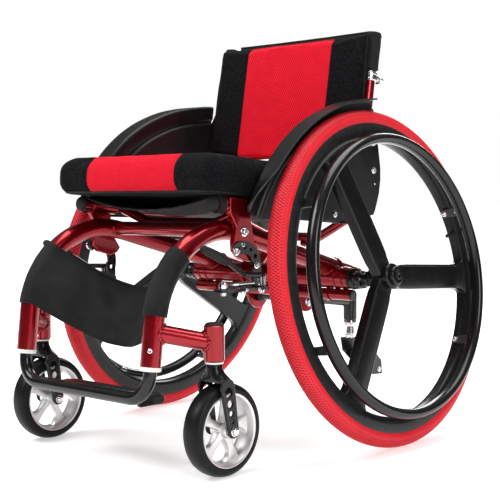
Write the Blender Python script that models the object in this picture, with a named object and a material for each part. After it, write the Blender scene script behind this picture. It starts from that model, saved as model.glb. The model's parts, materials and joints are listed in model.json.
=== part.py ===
"""Rigid sports wheelchair, built as separate pieces at their real size.

Metres, +Z up. The chair faces -Y and +X is the occupant's left. The floor is z = 0.
Distances called "back" run along +Y from the drive wheels' axle line, so a
negative one is in front of it.
"""

from math import acos, atan2, cos, pi, radians, sin, tan

import bmesh
import bpy
from mathutils import Matrix, Vector

# Driving dimensions
AXLE_Y = 0.0697  # puts the middle of the chair's length at y = 0
GAP = 0.0003  # between pieces that touch
SIDES = ((1, "left"), (-1, "right"))

WHEEL_R = 0.305  # 24 inch drive wheel
WHEEL_FACETS = 48  # one facet of each tyre lies on the floor
CAMBER = radians(8.25)
HUB_X = 0.271
HUB_Z = WHEEL_R * cos(pi / WHEEL_FACETS) * cos(CAMBER)
TYRE_HALF = 0.0165
RIM_INNER_R = 0.250
SPOKE_WIDTH = 0.046
WHEEL_PHASE = {1: radians(-3), -1: radians(-30)}  # how far each wheel is turned, by side
HANDRIM_R = 0.2459  # to the middle of its tube
HANDRIM_OFFSET = 0.040
HANDRIM_TABS = 6

CASTER_R = 0.0763  # 6 inch caster
CASTER_FACETS = 28
CASTER_Z = CASTER_R * cos(pi / CASTER_FACETS)
CASTER_HALF = 0.0188
CASTER_X = 0.224
STEM_BACK = -0.390
CASTER_BACK = -0.3735
HOUSING_Z = (0.188, 0.245)

FRAME_TUBE_R = 0.017
LEG_X = 0.162
LEG_BOTTOM = (-0.470, 0.181)  # back, up
LEG_LEAN = radians(7)
REAR_SLOPE = radians(15.3)
REAR_LINE_Z = 0.316  # height of the sloping tube where it crosses the axle line
KNEE_R = 0.163
REAR_END = (0.146, 0.080)  # x, back

RAIL_R = 0.0125
RAIL_X = 0.170
RAIL_FRONT = (-0.333, 0.436)
RAIL_REAR = (-0.008, 0.4121)
RAKE = atan2(RAIL_FRONT[1] - RAIL_REAR[1], RAIL_REAR[0] - RAIL_FRONT[0])

AXLE_TUBE_R = 0.020
AXLE_TUBE_Z = 0.296
AXLE_TUBE_X = 0.199

CANE_R = 0.011
CANE_X = 0.184
BACK_LEAN = radians(9.9)
PIVOT = (0.046, 0.512)  # back, up: where the backrest folds
CANE_TOP = 0.171  # along the cane from the pivot
SLEEVE = (0.174, 0.248)

GUARD_X = 0.2035
GUARD_RADII = ((157, 0.319), (110, 0.3165), (97, 0.319), (88.6, 0.323), (81.4, 0.330))  # by angle
GUARD_RISE = {1: 0.0, -1: 0.010}  # the right guard is fixed a little higher
SHEET = 0.003

STRAP_Z = (0.262, 0.353)  # heights on the leg tubes

FOOT_R = 0.011
FOOT_BAR_Z = 0.128
FOOT_BEND_R = 0.042

FINISHES = {  # colour, roughness, metallic
    "frame_red": ((0.42, 0.008, 0.016), 0.25, 0.65),
    "tyre_red": ((0.80, 0.035, 0.045), 0.60, 0.0),
    "fabric_red": ((0.78, 0.012, 0.030), 0.85, 0.0),
    "fabric_black": ((0.012, 0.012, 0.013), 0.90, 0.0),
    "black_plastic": ((0.016, 0.016, 0.017), 0.45, 0.0),
    "black_metal": ((0.014, 0.014, 0.015), 0.32, 0.4),
    "rubber_black": ((0.012, 0.012, 0.012), 0.65, 0.0),
    "silver": ((0.78, 0.78, 0.80), 0.25, 1.0),
    "chrome": ((0.85, 0.85, 0.87), 0.10, 1.0),
}


# Scene helpers


def clear_scene():
    for obj in list(bpy.data.objects):
        bpy.data.objects.remove(obj, do_unlink=True)


def finish_material(name):
    found = bpy.data.materials.get(name)
    if found:
        return found
    colour, roughness, metallic = FINISHES[name]
    mat = bpy.data.materials.new(name)
    mat.use_nodes = True
    shader = mat.node_tree.nodes["Principled BSDF"]
    shader.inputs["Base Color"].default_value = (*colour, 1)
    shader.inputs["Roughness"].default_value = roughness
    shader.inputs["Metallic"].default_value = metallic
    mat.diffuse_color = (*colour, 1)
    return mat


def place(name, bm, finish, parent=None):
    """Makes a named object from a closed mesh, its faces turned outwards."""
    bmesh.ops.recalc_face_normals(bm, faces=bm.faces)
    mesh = bpy.data.meshes.new(name)
    bm.to_mesh(mesh)
    bm.free()
    mesh.shade_smooth()
    mesh.set_sharp_from_angle(angle=radians(35))
    mesh.materials.append(finish_material(finish))
    obj = bpy.data.objects.new(name, mesh)
    obj.parent = parent
    bpy.context.scene.collection.objects.link(obj)
    return obj


def pivot_empty(name, location, rotation=(0, 0, 0)):
    obj = bpy.data.objects.new(name, None)
    obj.location = location
    obj.rotation_euler = rotation
    bpy.context.scene.collection.objects.link(obj)
    return obj


def boolean(target, operation, shapes):
    """Joins or cuts helper shapes, which stay hidden beside their target."""
    for index, bm in enumerate(shapes):
        helper = place(f"{target.name}_{operation}_{index}", bm, "silver", target.parent)
        helper.hide_render = True
        helper.display_type = "WIRE"
        modifier = target.modifiers.new(f"{operation}_{index}", "BOOLEAN")
        modifier.operation = operation
        modifier.object = helper
    return target


def join(target, *shapes):
    return boolean(target, "UNION", shapes)


def cut(target, *shapes):
    return boolean(target, "DIFFERENCE", shapes)


def at(x, back, up):
    return Vector((x, AXLE_Y + back, up))


# Shape helpers


def bridge(bm, first, second):
    count = len(first)
    for i in range(count):
        j = (i + 1) % count
        bm.faces.new((first[i], first[j], second[j], second[i]))


def filleted(points, radius, steps=7):
    """The polyline with each inner corner rounded into an arc."""
    route = [points[0]]
    for before, corner, after in zip(points, points[1:], points[2:]):
        into = (before - corner).normalized()
        out = (after - corner).normalized()
        half = acos(max(-1.0, min(1.0, into.dot(out)))) / 2
        middle = corner + (into + out).normalized() * (radius / sin(half))
        start = corner + into * (radius / tan(half)) - middle
        end = corner + out * (radius / tan(half)) - middle
        turn = start.rotation_difference(end)
        for i in range(steps + 1):
            route.append(middle + Matrix.Rotation(turn.angle * i / steps, 3, turn.axis) @ start)
    route.append(points[-1])
    return route


def sweep(path, radii, sides=14):
    """A round bar along a path, one radius for each point and both ends closed."""
    bm = bmesh.new()
    normal = None
    rings = []
    for i, point in enumerate(path):
        ahead = path[min(i + 1, len(path) - 1)] - point
        behind = point - path[max(i - 1, 0)]
        tangent = (ahead.normalized() + behind.normalized()).normalized()
        if normal is None:
            normal = tangent.orthogonal().normalized()
        normal = (normal - tangent * normal.dot(tangent)).normalized()
        across = tangent.cross(normal)
        ring = []
        for k in range(sides):
            angle = 2 * pi * k / sides
            ring.append(
                bm.verts.new(
                    point + (normal * cos(angle) + across * sin(angle)) * radii[i]
                )
            )
        rings.append(ring)
    for first, second in zip(rings, rings[1:]):
        bridge(bm, first, second)
    bm.faces.new(rings[0])
    bm.faces.new(rings[-1])
    return bm


def bar(path, radius, sides=14):
    return sweep(path, [radius] * len(path), sides)


def lathe(profile, segments, side=1, axis="X"):
    """Turns (along, radius) points about X or Z. A point at radius 0 closes an end."""
    bm = bmesh.new()
    rings = []
    for along, radius in profile:
        count = segments if radius > 0 else 1
        ring = []
        for k in range(count):
            angle = 2 * pi * (k + 0.5) / segments - pi / 2
            if axis == "X":
                spot = (side * along, radius * cos(angle), radius * sin(angle))
            else:
                spot = (radius * cos(angle), radius * sin(angle), along)
            ring.append(bm.verts.new(spot))
        rings.append(ring)
    hollow = profile[0][1] > 0
    pairs = list(zip(rings, rings[1:]))
    if hollow:
        pairs.append((rings[-1], rings[0]))
    for first, second in pairs:
        if len(first) == 1 or len(second) == 1:
            pole, ring = (first, second) if len(first) == 1 else (second, first)
            for k in range(segments):
                bm.faces.new((pole[0], ring[k], ring[(k + 1) % segments]))
        else:
            bridge(bm, first, second)
    return bm


def moved(bm, offset=(0, 0, 0), rotation=None):
    matrix = Matrix.Translation(offset)
    if rotation is not None:
        matrix = matrix @ rotation
    bm.transform(matrix)
    return bm


def cylinder(start, end, radius, sides=14):
    return bar([Vector(start), Vector(end)], radius, sides)


def plate(outline, low, high, axis="X"):
    """Extrudes an outline, given in the two other axes, from low to high."""
    bm = bmesh.new()
    order = {"X": (2, 0, 1), "Y": (0, 2, 1), "Z": (0, 1, 2)}[axis]
    rings = []
    for level in (low, high):
        ring = []
        for a, b in outline:
            spot = (a, b, level)
            ring.append(bm.verts.new([spot[order[0]], spot[order[1]], spot[order[2]]]))
        rings.append(ring)
    bridge(bm, rings[0], rings[1])
    bm.faces.new(rings[0])
    bm.faces.new(rings[1])
    return bm


def block(low, high):
    outline = [(low[0], low[1]), (high[0], low[1]), (high[0], high[1]), (low[0], high[1])]
    return plate(outline, low[2], high[2], axis="Z")


def hull_outline(circles, steps=12):
    """The convex outline round several circles, each (a, b, radius)."""
    spots = []
    for a, b, radius in circles:
        for k in range(steps):
            angle = 2 * pi * k / steps
            spots.append((a + radius * cos(angle), b + radius * sin(angle)))
    spots.sort()
    halves = []
    for run in (spots, spots[::-1]):
        chain = []
        for spot in run:
            while len(chain) > 1 and turns_right(chain[-2], chain[-1], spot):
                chain.pop()
            chain.append(spot)
        halves += chain[:-1]
    return halves


def turns_right(a, b, c):
    return (b[0] - a[0]) * (c[1] - a[1]) - (b[1] - a[1]) * (c[0] - a[0]) <= 1e-9


def slab(columns):
    """A closed skin over a grid of (bottom, top) point pairs, in rows of equal length."""
    bm = bmesh.new()
    layers = []
    for layer in (0, 1):
        layers.append([[bm.verts.new(pair[layer]) for pair in row] for row in columns])
    rows = len(columns)
    width = len(columns[0])
    for grid in layers:
        for i in range(rows - 1):
            for j in range(width - 1):
                bm.faces.new((grid[i][j], grid[i][j + 1], grid[i + 1][j + 1], grid[i + 1][j]))
    low, high = layers
    for i in range(rows - 1):
        for j in (0, width - 1):
            bm.faces.new((low[i][j], low[i + 1][j], high[i + 1][j], high[i][j]))
    for j in range(width - 1):
        for i in (0, rows - 1):
            bm.faces.new((low[i][j], low[i][j + 1], high[i][j + 1], high[i][j]))
    return bm


# Main frame


def knee_corner():
    """Where the leg's line meets the sloping rear line, as (back, up)."""
    lean = tan(LEG_LEAN)
    slope = tan(REAR_SLOPE)
    up = (REAR_LINE_Z - slope * (LEG_BOTTOM[0] - lean * LEG_BOTTOM[1])) / (1 + slope * lean)
    return LEG_BOTTOM[0] + lean * (up - LEG_BOTTOM[1]), up


def main_tube_path(side):
    back, up = knee_corner()
    rear_up = REAR_LINE_Z - tan(REAR_SLOPE) * REAR_END[1]
    corners = [
        at(side * LEG_X, *LEG_BOTTOM),
        at(side * LEG_X, back, up),
        at(side * REAR_END[0], REAR_END[1], rear_up),
    ]
    return filleted(corners, KNEE_R, steps=9)


def main_tube_at(side, back):
    """The middle of the sloping part of a main tube, at a distance back."""
    path = main_tube_path(side)
    start, end = path[-2], path[-1]
    share = (AXLE_Y + back - start.y) / (end.y - start.y)
    return start.lerp(end, share)


def leg_axis():
    return Vector((0, sin(LEG_LEAN), cos(LEG_LEAN)))


def build_main_tube(side, name):
    tube = place(f"{name}_main_tube", bar(main_tube_path(side), FRAME_TUBE_R), "frame_red")
    bottom = at(side * LEG_X, *LEG_BOTTOM)
    socket = cylinder(
        bottom - leg_axis() * 0.01, bottom + leg_axis() * 0.092, FOOT_R + 0.0008, sides=12
    )
    saddle = cylinder(
        at(-AXLE_TUBE_X, 0, AXLE_TUBE_Z), at(AXLE_TUBE_X, 0, AXLE_TUBE_Z), AXLE_TUBE_R + GAP, 16
    )
    cut(tube, socket, saddle)


def build_caster_arm(side, name):
    housing = lathe(
        [(HOUSING_Z[0], 0), (HOUSING_Z[0], 0.0168), (HOUSING_Z[1], 0.0168), (HOUSING_Z[1], 0)],
        14,
        axis="Z",
    )
    stem = at(side * CASTER_X, STEM_BACK, 0)
    arm = place(f"{name}_caster_arm", moved(housing, stem), "frame_red")
    leg = at(side * LEG_X, -0.4655, 0.236)
    head = at(side * CASTER_X, STEM_BACK, 0.216)
    join(arm, cylinder(leg, head, 0.0145))
    bore = cylinder(stem + Vector((0, 0, 0.17)), stem + Vector((0, 0, 0.236)), 0.0068, 12)
    cut(arm, bore, bar(main_tube_path(side), FRAME_TUBE_R + GAP))


def build_cross_tubes():
    ends = [main_tube_at(side, -0.272) for side in (-1, 1)]
    tube = place("front_cross_tube", bar(ends, 0.0125), "frame_red")
    cut(tube, *[bar(main_tube_path(side), FRAME_TUBE_R + GAP) for side in (-1, 1)])

    rail_up = rail_height(-0.244)
    corners = [
        at(-RAIL_X, -0.244, rail_up),
        at(-0.087, -0.244, 0.402),
        at(0.087, -0.244, 0.402),
        at(RAIL_X, -0.244, rail_up),
    ]
    tube = place("seat_front_cross_tube", bar(filleted(corners, 0.03, 4), 0.009, 12), "frame_red")
    cut(tube, *[bar(rail_path(side), RAIL_R + GAP) for side in (-1, 1)])

    corners = [
        at(-0.1540, 0.050, 0.404),
        at(-0.068, 0.064, 0.367),
        at(0.068, 0.064, 0.367),
        at(0.1540, 0.050, 0.404),
    ]
    place("seat_rear_cross_tube", bar(filleted(corners, 0.03, 4), 0.009, 12), "frame_red")


def rail_height(back):
    return RAIL_FRONT[1] - tan(RAKE) * (back - RAIL_FRONT[0])


def rail_path(side):
    return [at(side * RAIL_X, *RAIL_FRONT), at(side * RAIL_X, *RAIL_REAR)]


def build_seat_rail(side, name):
    place(f"{name}_seat_rail", bar(rail_path(side), RAIL_R), "frame_red")


def build_seat_upright(side, name):
    """The tapered plate that hangs from the rail and carries the brake beside the main tube."""
    outer = FRAME_TUBE_R + LEG_X + 0.0005
    outline = [
        (-0.310, 0.446),
        (-0.264, 0.443),
        (-0.262, 0.418),
        (-0.252, 0.372),
        (-0.236, 0.352),
        (-0.262, 0.338),
        (-0.300, 0.352),
        (-0.303, 0.372),
        (-0.296, 0.398),
        (-0.309, 0.420),
    ]
    outline = [(AXLE_Y + back, up) for back, up in outline]
    shape = plate(outline, side * (outer - 0.002), side * (outer + 0.0065))
    upright = place(f"{name}_seat_upright", shape, "frame_red")
    cut(
        upright,
        bar(rail_path(side), RAIL_R + GAP),
        bar(main_tube_path(side), FRAME_TUBE_R + GAP),
    )


def build_axle_tube():
    """The cross tube that carries both wheels, with its lower tube, lobes and seat posts."""
    middle = at(0, 0, AXLE_TUBE_Z)
    reach = Vector((AXLE_TUBE_X, 0, 0))
    tube = place("axle_tube", cylinder(middle - reach, middle + reach, AXLE_TUBE_R, 16), "frame_red")
    low = at(0, 0, 0.2645)
    shapes = [cylinder(low - reach, low + reach, 0.0105, 12)]
    for side, _ in SIDES:
        circles = [(AXLE_Y, AXLE_TUBE_Z, 0.026), (AXLE_Y + 0.029, 0.250, 0.027)]
        shapes.append(plate(hull_outline(circles), side * 0.059, side * 0.067))
        foot = at(side * 0.045, 0.004, AXLE_TUBE_Z + 0.008)
        head = at(side * 0.045, 0.050, 0.350)
        shapes.append(cylinder(foot, head, 0.008, 10))
    join(tube, *shapes)


def build_axle_receiver(side, name, hub):
    """The plug that holds a wheel's quick-release axle, in line with the cambered wheel."""
    inner = -(HUB_X - AXLE_TUBE_X) / cos(CAMBER) + 0.0035
    profile = [
        (inner, 0.0066),
        (inner, 0.0165),
        (inner + 0.024, 0.0165),
        (inner + 0.028, 0.0115),
        (-0.0235, 0.0115),
        (-0.0235, 0.0066),
    ]
    place(f"{name}_axle_receiver", lathe(profile, 14, side), "black_metal", hub)


def guard_arc(side, inset=0.0, steps=14):
    """The guard's upper edge round the tyre, as (y, z) points from its front to its rear."""
    start, end = GUARD_RADII[0][0], GUARD_RADII[-1][0]
    arc = []
    for i in range(steps + 1):
        angle = start + (end - start) * i / steps
        for (first, near), (second, far) in zip(GUARD_RADII, GUARD_RADII[1:]):
            if first >= angle >= second:
                radius = near + (far - near) * (angle - first) / (second - first) - inset
        height = HUB_Z + GUARD_RISE[side] + radius * sin(radians(angle))
        arc.append((AXLE_Y + radius * cos(radians(angle)), height))
    return arc


def build_side_guard(side, name):
    """A flat guard inside the wheel, with a lip that bends out over the tyre."""
    outline = guard_arc(side)
    for back, up in ((0.060, 0.606), (0.079, 0.500), (0.074, 0.452), (0.056, 0.412), (-0.037, 0.403)):
        outline.append((AXLE_Y + back, up))
    outline.append((AXLE_Y - 0.290, 0.412))
    low, high = side * GUARD_X, side * (GUARD_X + SHEET)
    guard = place(f"{name}_side_guard", plate(outline, low, high), "black_plastic")
    lip = guard_arc(side) + guard_arc(side, SHEET)[::-1]
    shapes = [plate(lip, side * (GUARD_X + SHEET / 2), side * (GUARD_X + 0.040))]
    for back in (-0.215, -0.060):
        boss = at(side * (RAIL_X + RAIL_R + GAP), back, rail_height(back))
        shapes.append(cylinder(boss, boss + Vector((side * 0.0225, 0, 0)), 0.006, 8))
    join(guard, *shapes)


def build_frame(hubs):
    for side, name in SIDES:
        build_main_tube(side, name)
        build_caster_arm(side, name)
        build_seat_rail(side, name)
        build_seat_upright(side, name)
        build_side_guard(side, name)
        build_axle_receiver(side, name, hubs[side])
    build_cross_tubes()
    build_axle_tube()


# Footrest


def build_footrest():
    drop = (LEG_BOTTOM[1] - FOOT_BAR_Z) / cos(LEG_LEAN)
    axis = leg_axis()
    parent = pivot_empty("footrest_slide", at(0, *LEG_BOTTOM) - axis * drop)
    corners = []
    for side in (-1, 1):
        low = Vector((side * LEG_X, 0, 0))
        high = low + axis * (drop + 0.082)
        corners += [high, low] if side < 0 else [low, high]
    place("foot_tube", bar(filleted(corners, FOOT_BEND_R, 6), FOOT_R), "black_metal", parent)
    half, depth, corner = 0.122, 0.066, 0.016
    start = FOOT_R + GAP
    circles = []
    for side in (-1, 1):
        circles.append((side * (half - corner), start + depth - corner, corner))
        circles.append((side * (half - 0.004), start + 0.004, 0.004))
    place("foot_plate", plate(hull_outline(circles), -0.008, -0.002, "Z"), "black_metal", parent)


# Drive wheels


def build_hub_empties():
    hubs = {}
    for side, name in SIDES:
        spot = at(side * HUB_X, 0, HUB_Z)
        hubs[side] = pivot_empty(f"{name}_wheel_hub", spot, (0, -side * CAMBER, 0))
    return hubs


def spoke_angles(side):
    return [WHEEL_PHASE[side] + 2 * pi * k / 3 for k in range(3)]


def spun(bm, angle):
    return moved(bm, rotation=Matrix.Rotation(angle, 4, "X"))


def build_drive_wheel(side, name, hub):
    half = 0.0135
    bed = 0.2728
    rim = [
        (-half, 0.2803),
        (-0.0105, bed),
        (0.0105, bed),
        (half, 0.2803),
        (half, 0.256),
        (0.009, RIM_INNER_R),
        (-0.009, RIM_INNER_R),
        (-half, 0.256),
    ]
    wheel = place(f"{name}_drive_wheel", lathe(rim, WHEEL_FACETS, side), "black_plastic", hub)
    spokes = []
    for angle in spoke_angles(side):
        width = SPOKE_WIDTH / 2
        section = [(-width, -0.0105), (width, -0.0105), (width, 0.0105), (-width, 0.0105)]
        spoke = bmesh.new()
        rings = []
        for radius in (0.0, 0.254):
            rings.append([spoke.verts.new((side * a, radius, w)) for w, a in section])
        bridge(spoke, rings[0], rings[1])
        spoke.faces.new(rings[0])
        spoke.faces.new(rings[1])
        spokes.append(spun(spoke, angle))
    barrel = lathe([(-0.022, 0), (-0.022, 0.0235), (0.024, 0.0235), (0.024, 0)], 20, side)
    join(wheel, *spokes, barrel)
    cut(wheel, cylinder((-0.05, 0, 0), (0.05, 0, 0), 0.0067, 12))


def build_drive_tyre(side, name, hub):
    half = TYRE_HALF
    centre = WHEEL_R - half
    profile = [
        (-0.0098, 0.2733),
        (-0.0130, 0.2812),
        (-half, centre),
        (-half * cos(radians(40)), centre + half * sin(radians(40))),
        (0, WHEEL_R),
    ]
    profile += [(-along, radius) for along, radius in profile[-2::-1]]
    place(f"{name}_drive_tyre", lathe(profile, WHEEL_FACETS, side), "tyre_red", hub)


def build_handrim(side, name, hub):
    profile = []
    for k in range(6):
        angle = 2 * pi * k / 6
        profile.append((HANDRIM_OFFSET + 0.0125 * cos(angle), HANDRIM_R + 0.0095 * sin(angle)))
    handrim = place(f"{name}_handrim", lathe(profile, 40, side), "black_metal", hub)
    tabs = []
    for k in range(HANDRIM_TABS):
        strip = block((-0.006, RIM_INNER_R - 0.0052, -0.009), (0.034, RIM_INNER_R - 0.0020, 0.009))
        if side < 0:
            bmesh.ops.scale(strip, vec=(-1, 1, 1), verts=strip.verts)
        tabs.append(spun(strip, WHEEL_PHASE[side] + 2 * pi * (k + 0.5) / HANDRIM_TABS))
    join(handrim, *tabs)


def build_wheel_axle(side, name, hub):
    """The quick-release axle and the button in its head."""
    head = 0.0243
    profile = [
        (-0.066, 0),
        (-0.066, 0.0060),
        (head, 0.0060),
        (head, 0.0165),
        (head + 0.0072, 0.0150),
        (head + 0.0072, 0.0088),
        (head + 0.0012, 0.0088),
        (head + 0.0012, 0),
    ]
    place(f"{name}_wheel_axle", lathe(profile, 16, side), "black_metal", hub)
    base = head + 0.0048
    button = [(base, 0), (base, 0.0083), (base + 0.0045, 0.0083), (base + 0.0055, 0.007)]
    button.append((base + 0.0055, 0))
    place(f"{name}_release_button", lathe(button, 12, side), "silver", hub)


def build_drive_wheels(hubs):
    for side, name in SIDES:
        build_drive_wheel(side, name, hubs[side])
        build_drive_tyre(side, name, hubs[side])
        build_handrim(side, name, hubs[side])
        build_wheel_axle(side, name, hubs[side])


# Casters


def build_caster_fork(side, name, swivel):
    """Stem, crown and two pierced legs. The stem's axis is the swivel's."""
    trail = CASTER_BACK - STEM_BACK
    inner, outer = CASTER_HALF + 0.0035, CASTER_HALF + 0.0085
    crown_top = [
        (0.1560, 0),
        (0.1560, 0.0145),
        (0.1847, 0.0125),
        (0.1847, 0.0062),
        (0.2340, 0.0062),
        (0.2340, 0),
    ]
    fork = place(f"{name}_caster_fork", lathe(crown_top, 14, axis="Z"), "black_plastic", swivel)
    arch = [(-outer, 0.150), (-outer, 0.160), (-0.013, 0.176), (0.013, 0.176)]
    arch += [(outer, 0.160), (outer, 0.150), (inner, 0.150), (inner, 0.1555), (-inner, 0.1555)]
    arch.append((-inner, 0.150))
    shapes = [plate(arch, -0.012, 0.022, "Y")]
    circles = [(0.004, 0.146, 0.0155), (trail, CASTER_Z, 0.0115)]
    for leg in (-1, 1):
        shapes.append(plate(hull_outline(circles), leg * inner, leg * outer))
    join(fork, *shapes)
    holes = []
    for share, radius in ((0.10, 0.0075), (0.38, 0.0060), (0.62, 0.0045)):
        spot_y = 0.004 + (trail - 0.004) * share
        spot_z = 0.146 + (CASTER_Z - 0.146) * share
        holes.append(cylinder((-0.05, spot_y, spot_z), (0.05, spot_y, spot_z), radius, 10))
    holes.append(cylinder((-0.05, trail, CASTER_Z), (0.05, trail, CASTER_Z), 0.0044, 10))
    cut(fork, *holes)


def build_caster_wheel(side, name, hub):
    rim = [
        (0.0170, 0.0600),
        (0.0170, 0.0560),
        (0.0090, 0.0530),
        (-0.0090, 0.0530),
        (-0.0170, 0.0560),
        (-0.0170, 0.0600),
    ]
    wheel = place(f"{name}_caster_rim", lathe(rim, CASTER_FACETS, side), "silver", hub)
    spokes = []
    for k in range(5):
        ridge = block((-0.007, 0.004, -0.0055), (0.007, 0.0545, 0.0055))
        spokes.append(spun(ridge, 2 * pi * k / 5))
    barrel = lathe([(-0.0180, 0), (-0.0180, 0.0125), (0.0180, 0.0125), (0.0180, 0)], 16, side)
    join(wheel, *spokes, barrel)
    cut(wheel, cylinder((-0.05, 0, 0), (0.05, 0, 0), 0.0045, 10))
    tyre = [
        (-CASTER_HALF, 0.0603),
        (-CASTER_HALF, 0.0680),
        (-0.0110, CASTER_R),
        (0.0110, CASTER_R),
        (CASTER_HALF, 0.0680),
        (CASTER_HALF, 0.0603),
    ]
    place(f"{name}_caster_tyre", lathe(tyre, CASTER_FACETS, side), "rubber_black", hub)


def build_caster_axle(name, swivel):
    trail = CASTER_BACK - STEM_BACK
    face = CASTER_HALF + 0.0085 + GAP
    profile = [(-face - 0.005, 0), (-face - 0.005, 0.0065), (-face, 0.0065), (-face, 0.0041)]
    profile += [(-along, radius) for along, radius in profile[::-1]]
    bolt = moved(lathe(profile, 12), (0, trail, CASTER_Z))
    place(f"{name}_caster_axle", bolt, "silver", swivel)


def build_casters():
    for side, name in SIDES:
        swivel = pivot_empty(f"{name}_caster_swivel", at(side * CASTER_X, STEM_BACK, 0))
        hub = pivot_empty(f"{name}_caster_hub", at(side * CASTER_X, CASTER_BACK, CASTER_Z))
        build_caster_fork(side, name, swivel)
        build_caster_axle(name, swivel)
        build_caster_wheel(side, name, hub)


# Brakes

BRAKE_BASE_Z = 0.2970
LEVER_PIVOT = (0.204, -0.255)
SHOE_PIVOT = (0.197, -0.340)
SHOE_LENGTH = 0.072


def build_brake_bracket(side, name):
    """A curved arm bolted to the upright, with a shelf for the two pivots."""
    inner = FRAME_TUBE_R + LEG_X + 0.0065 + 0.0008
    outline = []
    for radius, turn in ((0.043, 1), (0.024, -1)):
        for i in range(9):
            angle = radians(128 - 150 * (i if turn > 0 else 8 - i) / 8)
            outline.append((AXLE_Y - 0.283 + radius * cos(angle), 0.327 + radius * sin(angle) * 1.1))
    bracket = place(
        f"{name}_brake_bracket",
        plate(outline, side * inner, side * (inner + 0.004)),
        "black_metal",
    )
    low = at(inner, -0.352, BRAKE_BASE_Z - 0.005)
    high = at(LEVER_PIVOT[0] + 0.007, -0.240, BRAKE_BASE_Z)
    shelf = block(low, high)
    web = block(at(inner, -0.262, BRAKE_BASE_Z - 0.004), at(inner + 0.004, -0.242, 0.325))
    shapes = [shelf, web]
    if side < 0:
        for shape in shapes:
            bmesh.ops.scale(shape, vec=(-1, 1, 1), verts=shape.verts)
    join(bracket, *shapes)


def build_brake_lever(side, name):
    spot = at(side * LEVER_PIVOT[0], LEVER_PIVOT[1], BRAKE_BASE_Z)
    parent = pivot_empty(f"{name}_brake_lever_pivot", spot)
    boss = lathe([(GAP, 0), (GAP, 0.0055), (0.0225, 0.0055), (0.0225, 0)], 12, axis="Z")
    lever = place(f"{name}_brake_lever", boss, "black_metal", parent)
    route = [
        Vector((0, 0.004, 0.0195)),
        Vector((0, -0.040, 0.0215)),
        Vector((0, -0.080, 0.0440)),
        Vector((0, -0.088, 0.0480)),
        Vector((0, -0.136, 0.0670)),
        Vector((0, -0.140, 0.0690)),
    ]
    join(lever, sweep(route, [0.0045, 0.0045, 0.005, 0.0095, 0.0095, 0.005], 10))


def build_brake_shoe(side, name):
    spot = at(side * SHOE_PIVOT[0], SHOE_PIVOT[1], BRAKE_BASE_Z)
    parent = pivot_empty(f"{name}_brake_shoe_pivot", spot)
    boss = lathe([(GAP, 0), (GAP, 0.007), (0.0125, 0.007), (0.0125, 0)], 12, axis="Z")
    shoe = place(f"{name}_brake_shoe", boss, "chrome", parent)
    join(shoe, cylinder((0, 0, 0.0065), (0, SHOE_LENGTH, 0.0065), 0.0045, 10))


def build_brakes():
    for side, name in SIDES:
        build_brake_bracket(side, name)
        build_brake_lever(side, name)
        build_brake_shoe(side, name)


# Backrest. Local axes: Z runs up the canes from the fold pivot, and -Y faces the sitter.


def build_back_post(side, name):
    """The fixed lower post, its bracket on the rail and the two cheeks of the fold hinge."""
    lean = Vector((0, sin(BACK_LEAN), cos(BACK_LEAN)))
    pivot = at(side * CANE_X, *PIVOT)
    foot = pivot - lean * 0.112
    post = place(
        f"{name}_back_post", cylinder(foot, pivot - lean * 0.014, CANE_R, 14), "black_metal"
    )
    shapes = []
    for edge in (-0.0085, 0.0055):
        circles = [(pivot.y, pivot.z, 0.009)]
        end = pivot - lean * 0.020
        circles.append((end.y, end.z, 0.007))
        cheek = side * CANE_X + edge
        shapes.append(plate(hull_outline(circles), cheek, cheek + 0.003))
    low = at(0.1575, RAIL_REAR[0] + 0.0015, 0.397)
    high = at(CANE_X + CANE_R, PIVOT[0] + 0.004, 0.4255)
    bracket = block(low, high)
    if side < 0:
        bmesh.ops.scale(bracket, vec=(-1, 1, 1), verts=bracket.verts)
    shapes.append(bracket)
    join(post, *shapes)


def build_back_cane(side, name, pivot):
    """The folding cane: a tongue between the hinge cheeks, then a tube open at its top."""
    x = side * CANE_X
    profile = [(0.080, 0), (0.080, 0.0089), (CANE_TOP, 0.0089), (CANE_TOP, CANE_R)]
    profile += [(0.020, CANE_R), (0.020, 0)]
    cane = lathe(profile, 14, axis="Z")
    cane = place(f"{name}_back_cane", moved(cane, (x, 0, 0)), "frame_red", pivot)
    tongue = plate(hull_outline([(0, 0, 0.008), (0, 0.030, 0.008)]), x - 0.0050, x + 0.0050)
    join(cane, tongue)


def build_cane_clamp(side, name, pivot):
    x = side * CANE_X
    top = CANE_TOP - 0.001
    ring = [(top - 0.016, CANE_R + GAP), (top - 0.016, 0.0142), (top, 0.0142)]
    ring.append((top, CANE_R + GAP))
    clamp = place(
        f"{name}_cane_clamp", moved(lathe(ring, 14, axis="Z"), (x, 0, 0)), "chrome", pivot
    )
    ear = block((x - 0.004, 0.0125, top - 0.0135), (x + 0.004, 0.0190, top - 0.0025))
    join(clamp, ear)
    knob_at = pivot.matrix_basis @ Vector((x, 0.0195, top - 0.008))
    parent = pivot_empty(f"{name}_clamp_knob_axis", knob_at, (-BACK_LEAN, 0, 0))
    quarter = Matrix.Rotation(-pi / 2, 4, "X")
    knob = [(0, 0), (0, 0.0035), (0.006, 0.0035), (0.006, 0.0078), (0.016, 0.0078), (0.016, 0)]
    place(f"{name}_clamp_knob", moved(lathe(knob, 10, axis="Z"), rotation=quarter), "chrome", parent)


def build_cane_sleeve(side, name, pivot):
    """The inner post that slides in the cane, with the padded sleeve at its top."""
    x = side * CANE_X
    low, high = SLEEVE
    profile = [
        (0.088, 0),
        (0.088, 0.0083),
        (low, 0.0083),
        (low, 0.0145),
        (high - 0.003, 0.0145),
        (high, 0.0120),
        (high, 0),
    ]
    sleeve = moved(lathe(profile, 14, axis="Z"), (x, 0, 0))
    place(f"{name}_cane_sleeve", sleeve, "fabric_black", pivot)


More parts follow.
